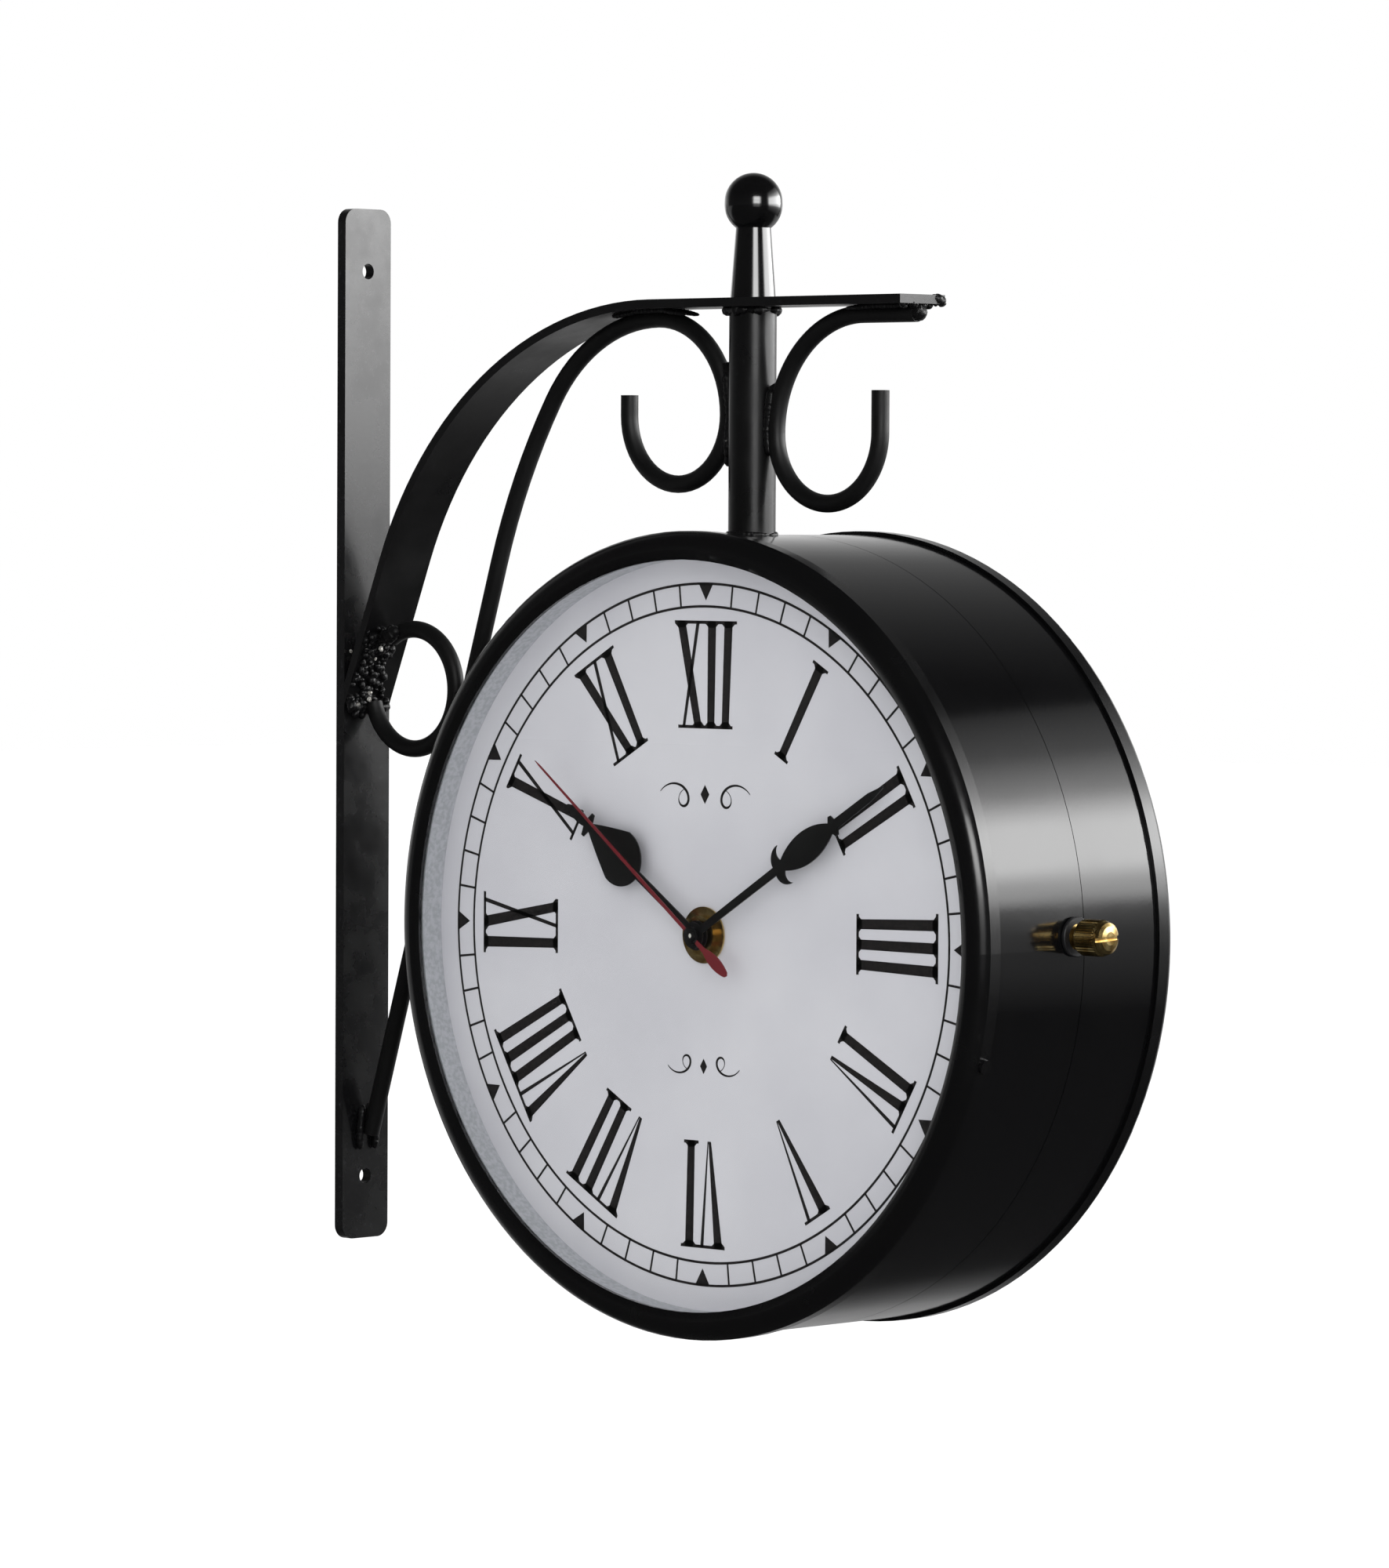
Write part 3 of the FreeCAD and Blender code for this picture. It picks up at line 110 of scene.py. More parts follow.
# paint on the iron: sprayed by hand, so the gloss wanders and the film has a fine orange peel
paintJobs = {
    "ironPaint": {"colour": "#0B0B0C", "dust": "#1C1C1E", "rough": (0.26, 0.40), "coat": 0.1,
                  "peelMm": 1.6, "peel": 0.10, "patchMm": 22, "dustMm": 2.4, "dustLevel": 0.66},
    "rodPaint": {"colour": "#0A0A0B", "dust": "#171719", "rough": (0.44, 0.56), "coat": 0.0,
                 "peelMm": 1.2, "peel": 0.12, "patchMm": 16, "dustMm": 2.0, "dustLevel": 0.68},
    "strapPaint": {"colour": "#0E0E0F", "dust": "#2C2C2F", "rough": (0.20, 0.34), "coat": 0.4,
                   "peelMm": 1.9, "peel": 0.10, "patchMm": 14, "dustMm": 1.8, "dustLevel": 0.64},
    "drumPaint": {"colour": "#0B0B0C", "dust": "#1C1C1F", "rough": (0.10, 0.16), "coat": 0.2,
                  "peelMm": 1.3, "peel": 0.05, "patchMm": 40, "dustMm": 2.2, "dustLevel": 0.70},
    "stoveEnamel": {"colour": "#080809", "dust": "#131314", "rough": (0.20, 0.28), "coat": 0.3,
                    "peelMm": 2.6, "peel": 0.04, "patchMm": 30, "dustMm": 3.0, "dustLevel": 0.72},
    "ballEnamel": {"colour": "#080809", "dust": "#131314", "rough": (0.16, 0.22), "coat": 1.0,
                   "peelMm": 2.6, "peel": 0.04, "patchMm": 30, "dustMm": 3.0, "dustLevel": 0.72},
    "handPaint": {"colour": "#0C0B0B", "dust": "#191717", "rough": (0.30, 0.40), "coat": 0.1,
                  "peelMm": 0.9, "peel": 0.04, "patchMm": 9, "dustMm": 1.4, "dustLevel": 0.70},
    # the second hand is red, with a black hub of this radius
    "secondHandPaint": {"colour": "#741820", "dust": "#5A1218", "rough": (0.34, 0.44), "coat": 0.1,
                        "peelMm": 0.9, "peel": 0.04, "patchMm": 9, "dustMm": 1.4, "dustLevel": 0.66,
                        "hubMm": 3.3},
}
dustEdge = 0.06   # half the step of the noise over which paint turns to dust
drumSetback = 14   # middle of the drum behind the bracket's plane, in millimetres
drumCentre = (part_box("front_shell")[0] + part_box("front_shell")[1]) / 2
drumCentre.y = drumSetback * mm


def makePaint(name):
    job = paintJobs[name]
    material, tree, place = newMaterial(name)
    patches = addNode(tree, "TexNoise", {"Scale": perMetre(job["patchMm"]), "Detail": 4.0, "Roughness": 0.6},
                      {"Vector": place})
    rough = addNode(tree, "MapRange", {"From Min": 0.35, "From Max": 0.65, "To Min": job["rough"][0],
                                       "To Max": job["rough"][1]}, {"Value": patches.outputs["Fac"]})
    specks = addNode(tree, "TexNoise", {"Scale": perMetre(job["dustMm"]), "Detail": 6.0, "Roughness": 0.7},
                     {"Vector": place})
    level = job["dustLevel"]
    stops = [(level - dustEdge, hexColour(job["colour"])), (level + dustEdge, hexColour(job["dust"]))]
    colour = addNode(tree, "ValToRGB", {"stops": stops}, {"Fac": specks.outputs["Fac"]}).outputs["Color"]
    if "hubMm" in job:
        # distance from the spindle, with the way along the spindle left out
        fromSpindle = addNode(tree, "VectorMath", {"operation": "MULTIPLY_ADD", 1: (1, 0, 1),
                                                   2: (-drumCentre.x, 0, -drumCentre.z)}, {0: place})
        reach = addNode(tree, "VectorMath", {"operation": "LENGTH"}, {0: fromSpindle.outputs["Vector"]})
        onBlade = addNode(tree, "Math", {"operation": "GREATER_THAN", 1: job["hubMm"] * mm},
                          {0: reach.outputs["Value"]})
        hubColour = hexColour(paintJobs["handPaint"]["colour"])
        colour = addNode(tree, "Mix", {"data_type": "RGBA", colourA: hubColour},
                         {"Factor": onBlade.outputs[0], colourB: colour}).outputs[mixedColour]
    peel = addNode(tree, "TexNoise", {"Scale": perMetre(job["peelMm"]), "Detail": 2.0}, {"Vector": place})
    bump = addNode(tree, "Bump", {"Strength": job["peel"], "Distance": 0.12 * mm},
                   {"Height": peel.outputs["Fac"]})
    shader = addNode(tree, "BsdfPrincipled", {"IOR": 1.5, "Coat Weight": job["coat"], "Coat Roughness": 0.12},
                     {"Base Color": colour, "Roughness": rough.outputs["Result"],
                      "Normal": bump.outputs["Normal"]})
    addNode(tree, "OutputMaterial", links={"Surface": shader.outputs["BSDF"]})
    return material


# welded seams: painted over, with a few bright spots of bare steel where slag was knocked off, partly painted
# highlight standing in for glints on the welds
weldJob = {"colour": "#0D0D0E", "steel": "#C9C7C2", "rough": 0.36, "rippleMm": 1.1, "depthMm": 0.5,
           "spotMm": 2.6, "spotLevel": 0.73, "spotEdge": 0.02}


def makeWeldPaint():
    material, tree, place = newMaterial("weldPaint")
    spots = addNode(tree, "TexNoise", {"Scale": perMetre(weldJob["spotMm"]), "Detail": 3.0},
                    {"Vector": place})
    # the pale spots are bare steel and partly painted highlight for glints
    level, edge = weldJob["spotLevel"], weldJob["spotEdge"]
    stops = [(level - edge, grey(0)), (level + edge, grey(1))]
    bareAndGlint = addNode(tree, "ValToRGB", {"stops": stops}, {"Fac": spots.outputs["Fac"]}).outputs["Color"]
    colour = addNode(tree, "Mix", {"data_type": "RGBA", colourA: hexColour(weldJob["colour"]),
                                   colourB: hexColour(weldJob["steel"])}, {"Factor": bareAndGlint})
    ripples = addNode(tree, "TexNoise", {"Scale": perMetre(weldJob["rippleMm"]), "Detail": 5.0},
                      {"Vector": place})
    bump = addNode(tree, "Bump", {"Strength": 0.6, "Distance": weldJob["depthMm"] * mm},
                   {"Height": ripples.outputs["Fac"]})
    shader = addNode(tree, "BsdfPrincipled", {"Roughness": weldJob["rough"]},
                     {"Base Color": colour.outputs[mixedColour], "Metallic": bareAndGlint,
                      "Normal": bump.outputs["Normal"]})
    addNode(tree, "OutputMaterial", links={"Surface": shader.outputs["BSDF"]})
    return material


# dial: cool white stoved paint on a thin steel plate, printed in black
dialJob = {"white": "#DEDCE1", "tint": "#D5D3D9", "cloudMm": 55, "grainMm": 0.5}


def makeDialPaint():
    material, tree, place = newMaterial("dialPaint")
    clouds = addNode(tree, "TexNoise", {"Scale": perMetre(dialJob["cloudMm"]), "Detail": 3.0},
                     {"Vector": place})
    stops = [(0.35, hexColour(dialJob["tint"])), (0.65, hexColour(dialJob["white"]))]
    colour = addNode(tree, "ValToRGB", {"stops": stops}, {"Fac": clouds.outputs["Fac"]}).outputs["Color"]
    grain = addNode(tree, "TexNoise", {"Scale": perMetre(dialJob["grainMm"]), "Detail": 2.0},
                    {"Vector": place})
    bump = addNode(tree, "Bump", {"Strength": 0.05, "Distance": 0.05 * mm}, {"Height": grain.outputs["Fac"]})
    shader = addNode(tree, "BsdfPrincipled", {"Roughness": 0.5, "IOR": 1.5},
                     {"Base Color": colour, "Normal": bump.outputs["Normal"]})
    addNode(tree, "OutputMaterial", links={"Surface": shader.outputs["BSDF"]})
    return material


# plain materials with one texture each: colour pair, roughness, metallic, detail size and depth
plainJobs = {
    # screen ink: dead flat black with a brown edge where it thins
    "dialInk": {"dark": "#120C0C", "light": "#1C1414", "rough": 0.7, "metal": 0,
                "detailMm": 1.2, "bump": 0.1},
    # grey board ring, cut from calendered card
    "spacerCard": {"dark": "#ACAEB2", "light": "#BEBFC4", "rough": 0.7, "metal": 0,
                   "detailMm": 1.5, "bump": 0.15},
    # moulded ABS with a spark-eroded texture
    "mouldedAbs": {"dark": "#161618", "light": "#1E1E20", "rough": 0.5, "metal": 0,
                   "detailMm": 0.6, "bump": 0.35},
    # moulded acetal: waxy and slightly cloudy
    "mouldedAcetal": {"dark": "#DAD7CC", "light": "#E8E5DB", "rough": 0.38, "metal": 0,
                      "detailMm": 3.0, "bump": 0.05},
    # zinc plated steel: bright with a faint blue passivation
    "zincPlate": {"dark": "#A9ADB2", "light": "#C6C9CC", "rough": 0.32, "metal": 1,
                  "detailMm": 1.8, "bump": 0.12},
    # nickel plated spring strip
    "nickelStrip": {"dark": "#B4B0A6", "light": "#CDC9BF", "rough": 0.25, "metal": 1,
                    "detailMm": 2.2, "bump": 0.05},
    # clean steel where slag was knocked off a weld, dull and pitted; its pale colour is partly painted
    # highlight, standing in for glints
    "bareSteelGlint": {"dark": "#A29F97", "light": "#E4E2DC", "rough": 0.42, "metal": 0.55,
                  "detailMm": 0.8, "bump": 0.4},
}


def makePlain(name):
    job = plainJobs[name]
    material, tree, place = newMaterial(name)
    detail = addNode(tree, "TexNoise", {"Scale": perMetre(job["detailMm"]), "Detail": 4.0}, {"Vector": place})
    stops = [(0.4, hexColour(job["dark"])), (0.6, hexColour(job["light"]))]
    colour = addNode(tree, "ValToRGB", {"stops": stops}, {"Fac": detail.outputs["Fac"]}).outputs["Color"]
    bump = addNode(tree, "Bump", {"Strength": job["bump"], "Distance": 0.1 * mm},
                   {"Height": detail.outputs["Fac"]})
    shader = addNode(tree, "BsdfPrincipled", {"Roughness": job["rough"], "Metallic": float(job["metal"])},
                     {"Base Color": colour, "Normal": bump.outputs["Normal"]})
    addNode(tree, "OutputMaterial", links={"Surface": shader.outputs["BSDF"]})
    return material


# turned and lacquered brass: fine tool rings about the turning axis
brassJob = {"bright": "#E8CF90", "dull": "#B08C4C", "ringMm": 0.35, "stainMm": 4, "rough": (0.18, 0.30)}


def makeTurnedBrass(name, axis):
    material, tree, place = newMaterial(name)
    rings = addNode(tree, "TexWave", {"wave_type": "BANDS", "bands_direction": axis, "Distortion": 0.6,
                                      "Scale": perWave(brassJob["ringMm"]), "Detail": 1.0}, {"Vector": place})
    stain = addNode(tree, "TexNoise", {"Scale": perMetre(brassJob["stainMm"]), "Detail": 5.0},
                    {"Vector": place})
    stops = [(0.36, hexColour(brassJob["dull"])), (0.6, hexColour(brassJob["bright"]))]
    colour = addNode(tree, "ValToRGB", {"stops": stops}, {"Fac": stain.outputs["Fac"]}).outputs["Color"]
    rough = addNode(tree, "MapRange", {"To Min": brassJob["rough"][0], "To Max": brassJob["rough"][1]},
                    {"Value": stain.outputs["Fac"]})
    bump = addNode(tree, "Bump", {"Strength": 0.15, "Distance": 0.03 * mm}, {"Height": rings.outputs["Fac"]})
    shader = addNode(tree, "BsdfPrincipled", {"Metallic": 1.0},
                     {"Base Color": colour, "Roughness": rough.outputs["Result"],
                      "Normal": bump.outputs["Normal"]})
    addNode(tree, "OutputMaterial", links={"Surface": shader.outputs["BSDF"]})
    return material


# drawn sheet glass: clear, with a breath of green and a slow wave; light passes straight to the dial
glassJob = {"tint": "#FDFEFE", "waveMm": 60}


def makeSheetGlass():
    material, tree, place = newMaterial("sheetGlass")
    waves = addNode(tree, "TexNoise", {"Scale": perMetre(glassJob["waveMm"]), "Detail": 1.0},
                    {"Vector": place})
    bump = addNode(tree, "Bump", {"Strength": 0.03, "Distance": 0.1 * mm}, {"Height": waves.outputs["Fac"]})
    glass = addNode(tree, "BsdfPrincipled",
                    {"Base Color": hexColour(glassJob["tint"]), "Roughness": 0.0, "IOR": 1.5,
                     "Transmission Weight": 1.0}, {"Normal": bump.outputs["Normal"]})
    clear = addNode(tree, "BsdfTransparent", {"Color": hexColour(glassJob["tint"])})
    path = addNode(tree, "LightPath")
    passing = addNode(tree, "Math", {"operation": "MAXIMUM"},
                      {0: path.outputs["Is Shadow Ray"], 1: path.outputs["Is Diffuse Ray"]})
    mix = addNode(tree, "MixShader", links={"Fac": passing.outputs[0], 1: glass.outputs["BSDF"],
                                            2: clear.outputs["BSDF"]})
    addNode(tree, "OutputMaterial", links={"Surface": mix.outputs["Shader"]})
    return material


# AA cell: shrink sleeve with a gold band at the plus end, steel showing at the nub
cellJob = {"sleeve": "#1F5B3A", "band": "#C9A24A", "steel": "#C8C8C6", "bandMm": 12, "capMm": 1.4,
           "lengthMm": 50, "scuffMm": 5, "rough": (0.22, 0.42)}


def makeCellSleeve(name, plusEnd, towards):
    # plusEnd: x of the can's plus end in metres; towards: +1 if the sleeve lies on the lower side of it
    material, tree, place = newMaterial(name)
    x = addNode(tree, "SeparateXYZ", links={"Vector": place}).outputs["X"]
    length = cellJob["lengthMm"]
    inward = addNode(tree, "Math", {"operation": "MULTIPLY_ADD", 1: -towards / mm,
                                    2: towards * plusEnd / mm}, {0: x})
    share = addNode(tree, "MapRange", {"From Min": 0.0, "From Max": length}, {"Value": inward.outputs[0]})
    stops = [(0.0, hexColour(cellJob["steel"])), (cellJob["capMm"] / length, hexColour(cellJob["band"])),
             (cellJob["bandMm"] / length, hexColour(cellJob["sleeve"]))]
    bands = addNode(tree, "ValToRGB", {"stops": stops}, {"Fac": share.outputs["Result"]})
    bands.color_ramp.interpolation = "CONSTANT"
    scuffs = addNode(tree, "TexNoise", {"Scale": perMetre(cellJob["scuffMm"]), "Detail": 5.0},
                     {"Vector": place})
    rough = addNode(tree, "MapRange", {"To Min": cellJob["rough"][0], "To Max": cellJob["rough"][1]},
                    {"Value": scuffs.outputs["Fac"]})
    shader = addNode(tree, "BsdfPrincipled", {"Metallic": 0.35},
                     {"Base Color": bands.outputs["Color"], "Roughness": rough.outputs["Result"]})
    addNode(tree, "OutputMaterial", links={"Surface": shader.outputs["BSDF"]})
    return material


# enamelled copper wire, wound across the coil, darker in the grooves between the turns as painted shade; the
# core plate below it is grey steel
coilJob = {"wire": "#B4602F", "gap": "#5E2C14", "core": "#8E9092", "wireMm": 0.45, "coreMm": 3}


def makeCoilWire(coreTop, facing):
    material, tree, place = newMaterial("coilWire" + facing)
    turns = addNode(tree, "TexWave", {"wave_type": "BANDS", "bands_direction": "X",
                                      "Scale": perWave(coilJob["wireMm"])}, {"Vector": place})
    # the dark stop is painted shade in the grooves between the turns
    stops = [(0.1, hexColour(coilJob["gap"])), (0.5, hexColour(coilJob["wire"]))]
    wire = addNode(tree, "ValToRGB", {"stops": stops}, {"Fac": turns.outputs["Fac"]}).outputs["Color"]
    z = addNode(tree, "SeparateXYZ", links={"Vector": place}).outputs["Z"]
    onCore = addNode(tree, "Math", {"operation": "LESS_THAN", 1: coreTop}, {0: z})
    colour = addNode(tree, "Mix", {"data_type": "RGBA", colourB: hexColour(coilJob["core"])},
                     {"Factor": onCore.outputs[0], colourA: wire})
    bump = addNode(tree, "Bump", {"Strength": 0.4, "Distance": 0.1 * mm}, {"Height": turns.outputs["Fac"]})
    shader = addNode(tree, "BsdfPrincipled", {"Metallic": 0.8, "Roughness": 0.32},
                     {"Base Color": colour.outputs[mixedColour], "Normal": bump.outputs["Normal"]})
    addNode(tree, "OutputMaterial", links={"Surface": shader.outputs["BSDF"]})
    return material


paints = {name: makePaint(name) for name in paintJobs}
plains = {name: makePlain(name) for name in plainJobs}
weldPaint = makeWeldPaint()
dialPaint = makeDialPaint()
sheetGlass = makeSheetGlass()
faceBrass = makeTurnedBrass("faceBrass", "Y")
screwBrass = makeTurnedBrass("screwBrass", "X")
print("materials made")


# carried-over nodes

def dress(node, material):
    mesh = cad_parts[node].data
    mesh.materials.clear()
    mesh.materials.append(material)


for node in ("arch_strap", "pole_tube", "hinge_fixed_leaf", "hinge_moving_leaf"):
    dress(node, paints["ironPaint"])
for node in ("long_scroll_rod", "end_scroll_rod", "brace_ring"):
    dress(node, paints["rodPaint"])
dress("wall_strap", paints["strapPaint"])
dress("finial", paints["ballEnamel"])
for node in ("front_shell", "rear_shell", "lap_ring"):
    dress(node, paints["drumPaint"])
for node in ("pole_washer", "pole_nut", "tie_rod", "hinge_pin"):
    dress(node, plains["zincPlate"])
for node in ("thumb_screw", "clamp_plate"):
    dress(node, screwBrass)

faceFinishes = {
    "bezel": paints["stoveEnamel"], "bezel_screw": paints["stoveEnamel"], "glass": sheetGlass,
    "spacer": plains["spacerCard"], "dial": dialPaint, "movement_case": plains["mouldedAbs"],
    "movement_cover": plains["mouldedAbs"], "cell_contacts": plains["nickelStrip"],
    "dial_washer": faceBrass, "dial_nut": faceBrass, "hour_hand": paints["handPaint"],
    "minute_hand": paints["handPaint"], "second_hand": paints["secondHandPaint"],
    "hour_wheel": plains["mouldedAcetal"], "minute_wheel": plains["mouldedAcetal"],
    "centre_wheel": plains["mouldedAcetal"], "second_wheel": plains["mouldedAcetal"],
    "third_wheel": plains["mouldedAcetal"], "setting_wheel": plains["mouldedAcetal"],
}
for side in ("front", "rear"):
    for node, material in faceFinishes.items():
        dress(side + "_" + node, material)
    low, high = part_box(side + "_cell")
    plusEnd, towards = (high.x, 1) if side == "front" else (low.x, -1)
    dress(side + "_cell", makeCellSleeve(side + "CellSleeve", plusEnd, towards))
    low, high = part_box(side + "_drive_coil")
    dress(side + "_drive_coil", makeCoilWire(low.z + coilJob["coreMm"] * mm, side.capitalize()))
print("nodes dressed")


# mesh helpers

def addObject(name, data):
    made = bpy.data.objects.new(name, data)
    bpy.context.scene.collection.objects.link(made)
    return made


def addPiece(name, build, material, body, smooth=True):
    work = bmesh.new()
    build(work)
    bmesh.ops.recalc_face_normals(work, faces=work.faces)
    mesh = bpy.data.meshes.new(name)
    work.to_mesh(mesh)
    work.free()
    if smooth:
        mesh.polygons.foreach_set("use_smooth", [True] * len(mesh.polygons))
    mesh.materials.append(material)
    piece = addObject(name, mesh)
    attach(piece, body)
    return piece


dialDepth = drumCentre.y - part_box("front_dial")[0].y


def facePoint(side, x, y, z):
    # face frame in metres: x to the viewer's right, y up, z towards the viewer, from the drum's middle
    sign = 1 if side == "front" else -1
    return Vector((drumCentre.x + sign * x, drumCentre.y - sign * z, drumCentre.z + y))


def addPrism(work, outline, low, high, place):
    # outline: (x, y) points, counter-clockwise; place turns (x, y, z) into a point
    lower = [work.verts.new(place(x, y, low)) for x, y in outline]
    upper = [work.verts.new(place(x, y, high)) for x, y in outline]
    count = len(outline)
    work.faces.new(lower[::-1])
    work.faces.new(upper)
    for i in range(count):
        j = (i + 1) % count
        work.faces.new((lower[i], lower[j], upper[j], upper[i]))


def joinRings(work, rings, loop=False):
    # a skin over rings of points: a loop comes back to its first ring, and otherwise both ends are closed
    following = rings[1:] + rings[:1] if loop else rings[1:]
    for first, second in zip(rings, following):
        for j in range(len(first)):
            k = (j + 1) % len(first)
            work.faces.new((first[j], first[k], second[k], second[j]))
    if not loop:
        work.faces.new(rings[0][::-1])
        work.faces.new(rings[-1])


# dial print, in millimetres: railway minute track, roman hours with their tops outwards, two plain flourishes
printSizes = {
    "ink": 0.05, "lift": 0.005, "trackInner": 109.8, "trackOuter": 117.4, "trackLine": 0.85, "tickLine": 0.8,
    "tickGap": 0.2, "wedgeBase": 6.6, "wedgeDepth": 5.6, "hourFoot": 69.0, "hourHeight": 36.0,
    "footShare": 0.87, "thick": 3.7, "thin": 1.4, "vTipShare": 0.35, "strokeEnd": 0.1,
    "serif": 1.05, "slabJoin": 0.05, "bracket": 1.1, "bracketTip": 0.3, "bracketReach": 2.2,
}
# a flourish is a lozenge between two scrolls, which tighten as they go and swell on the way. places gives its
# height on the dial, its scale and the way up; the turns are in half circles
flourish = {
    "places": ((47.0, 1.0, 1), (-44.0, 0.8, -1)), "lozenge": ((0, -3.2), (2.0, 0), (0, 3.2), (-2.0, 0)),
    "steps": 48, "swellSteps": 40, "startTurn": 0.15, "turn": 2.1, "radius": 6.2, "tighten": 0.62,
    "flatten": 0.9, "out": 8.0, "drift": 7.15, "rise": 2.0, "hairline": 0.25, "swell": 0.75,
}
strokeWidths = {"I": 7.6, "V": 12.6, "X": 13.4}
hourNames = ["XII", "I", "II", "III", "IV", "V", "VI", "VII", "VIII", "IX", "X", "XI"]


def letterStrokes(letter, left):
    # strokes (x at foot, x at top, width), set in from the letter's sides so that their corners stay within
    # the slab, and the ends that carry a slab: 0 foot, 1 top. The slab runs the letter's whole width, so that
    # neighbours share one line, as on a station dial
    width = strokeWidths[letter]
    thick, thin = printSizes["thick"], printSizes["thin"]
    middle = left + width / 2
    if letter == "I":
        return [(middle, middle, thick)], (0, 1)
    if letter == "V":
        return [(middle + 0.3, left + 2.9, thick), (middle + 1.2, left + width - 2.1, thin)], (1,)
    a, b = left + 3.0, left + width - 2.8
    return [(b, a, thick), (a - 0.2, b + 0.2, thin)], (0, 1)


def buildPrint(work, side):
    p = printSizes
    low = dialDepth + p["lift"] * mm
    high = low + p["ink"] * mm

    def onFace(x, y, z):
        return facePoint(side, x * mm, y * mm, z)

    def polar(radius, degrees):
        # clockwise from twelve
        angle = math.radians(degrees)
        return radius * math.sin(angle), radius * math.cos(angle)

    def band(inner, outer, start, end, steps):
        for i in range(steps):
            a = start + (end - start) * i / steps
            b = start + (end - start) * (i + 1) / steps
            corners = [polar(inner, b), polar(outer, b), polar(outer, a), polar(inner, a)]
            addPrism(work, corners, low, high, onFace)

    for radius in (p["trackInner"], p["trackOuter"]):
        band(radius - p["trackLine"] / 2, radius + p["trackLine"] / 2, 0, 360, 240)
    for minute in range(60):
        if minute % 5:
            half = math.degrees(p["tickLine"] / 2 / p["trackOuter"])
            band(p["trackInner"] + p["tickGap"], p["trackOuter"] - p["tickGap"],
                 minute * 6 - half, minute * 6 + half, 1)
        else:
            spread = math.degrees(p["wedgeBase"] / 2 / p["trackOuter"])
            tip = polar(p["trackOuter"] - p["wedgeDepth"], minute * 6)
            edge = [polar(p["trackOuter"], minute * 6 + spread * s) for s in (1, 0, -1)]
            addPrism(work, [tip] + edge, low, high, onFace)

    for hour, name in enumerate(hourNames):
        total = sum(strokeWidths[letter] for letter in name)
        left = -total / 2
        turn = math.radians(hour * 30)

        def onHour(x, y):
            share = y / p["hourHeight"]
            x = x * (p["footShare"] + (1 - p["footShare"]) * share)
            radius = p["hourFoot"] + y
            return (x * math.cos(turn) + radius * math.sin(turn),
                    -x * math.sin(turn) + radius * math.cos(turn))

        for letter in name:
            strokes, serifEnds = letterStrokes(letter, left)
            for foot, top, width in strokes:
                lean = math.hypot(1, (top - foot) / p["hourHeight"])
                half = width / 2 * lean
                tipHalf = half if letter != "V" else half * p["vTipShare"]
                lowEnd, highEnd = p["strokeEnd"], p["hourHeight"] - p["strokeEnd"]
                outline = [onHour(foot - tipHalf, lowEnd), onHour(foot + tipHalf, lowEnd),
                           onHour(top + half, highEnd), onHour(top - half, highEnd)]
                addPrism(work, outline, low, high, onFace)
            right = left + strokeWidths[letter]
            for atTop in serifEnds:
                base, inward = (p["hourHeight"], -p["serif"]) if atTop else (0, p["serif"])
                start, end = left - p["slabJoin"], right + p["slabJoin"]
                slabs = [[(start, base), (end, base), (end, base + inward), (start, base + inward)]]
                # a small bracket on each side where a thick stroke meets the slab
                for foot, top, width in strokes:
                    x, half = top if atTop else foot, width / 2
                    wide, tip = half + p["bracket"], half - p["bracketTip"]
                    if width == p["thick"]:
                        slabs.append([(x - wide, base + inward), (x + wide, base + inward),
                                      (x + tip, base + p["bracketReach"] * inward),
                                      (x - tip, base + p["bracketReach"] * inward)])
                for slab in slabs:
                    outline = [onHour(*point) for point in slab]
                    addPrism(work, outline[::-1] if atTop else outline, low, high, onFace)
            left = right

    f = flourish
    for centreY, spread, flip in f["places"]:
        addPrism(work, [(x * spread, centreY + y * spread) for x, y in f["lozenge"]], low, high, onFace)
        for hand in (1, -1):
            line, halves = [], []
            for i in range(f["steps"] + 1):
                t = i / f["steps"]
                angle = math.pi * (f["startTurn"] + f["turn"] * t)
                radius = f["radius"] * (1 - f["tighten"] * t)
                x = f["out"] + f["drift"] * (1 - t) + radius * math.cos(angle)
                y = flip * (radius * math.sin(angle) * f["flatten"] - f["rise"] * (1 - t))
                line.append(Vector((hand * x * spread, centreY + y * spread)))
                swelling = math.sin(math.pi * min(i / f["swellSteps"], 1))
                halves.append((f["hairline"] + f["swell"] * swelling * spread) / 2)
            for i in range(f["steps"]):
                a, b = line[i], line[i + 1]
                across = Vector((-(b - a).y, (b - a).x)).normalized()
                quad = [a - across * halves[i], b - across * halves[i + 1], b + across * halves[i + 1],
                        a + across * halves[i]]
                addPrism(work, [tuple(point) for point in quad], low, high, onFace)


for side, body in (("front", "case_front"), ("rear", "rear_half")):
    addPiece(side + "DialPrint", lambda work: buildPrint(work, side), plains["dialInk"], body,
             smooth=False)
print("dials printed")


# welds: a bead is a row of overlapping lumps along a path. The shares are of its radius
beadJob = {"stepMm": 0.45, "leastSteps": 6, "sides": 10, "blunt": 6, "endShare": 0.02, "ripple": 0.16,
           "ringShare": 0.06, "pointShare": 0.07}
# spatter is a cloud of small dented lumps
spatterJob = {"size": (0.5, 1.3), "stretch": (0.7, 1.3), "spin": 6, "dent": 0.12}
random.seed(11)


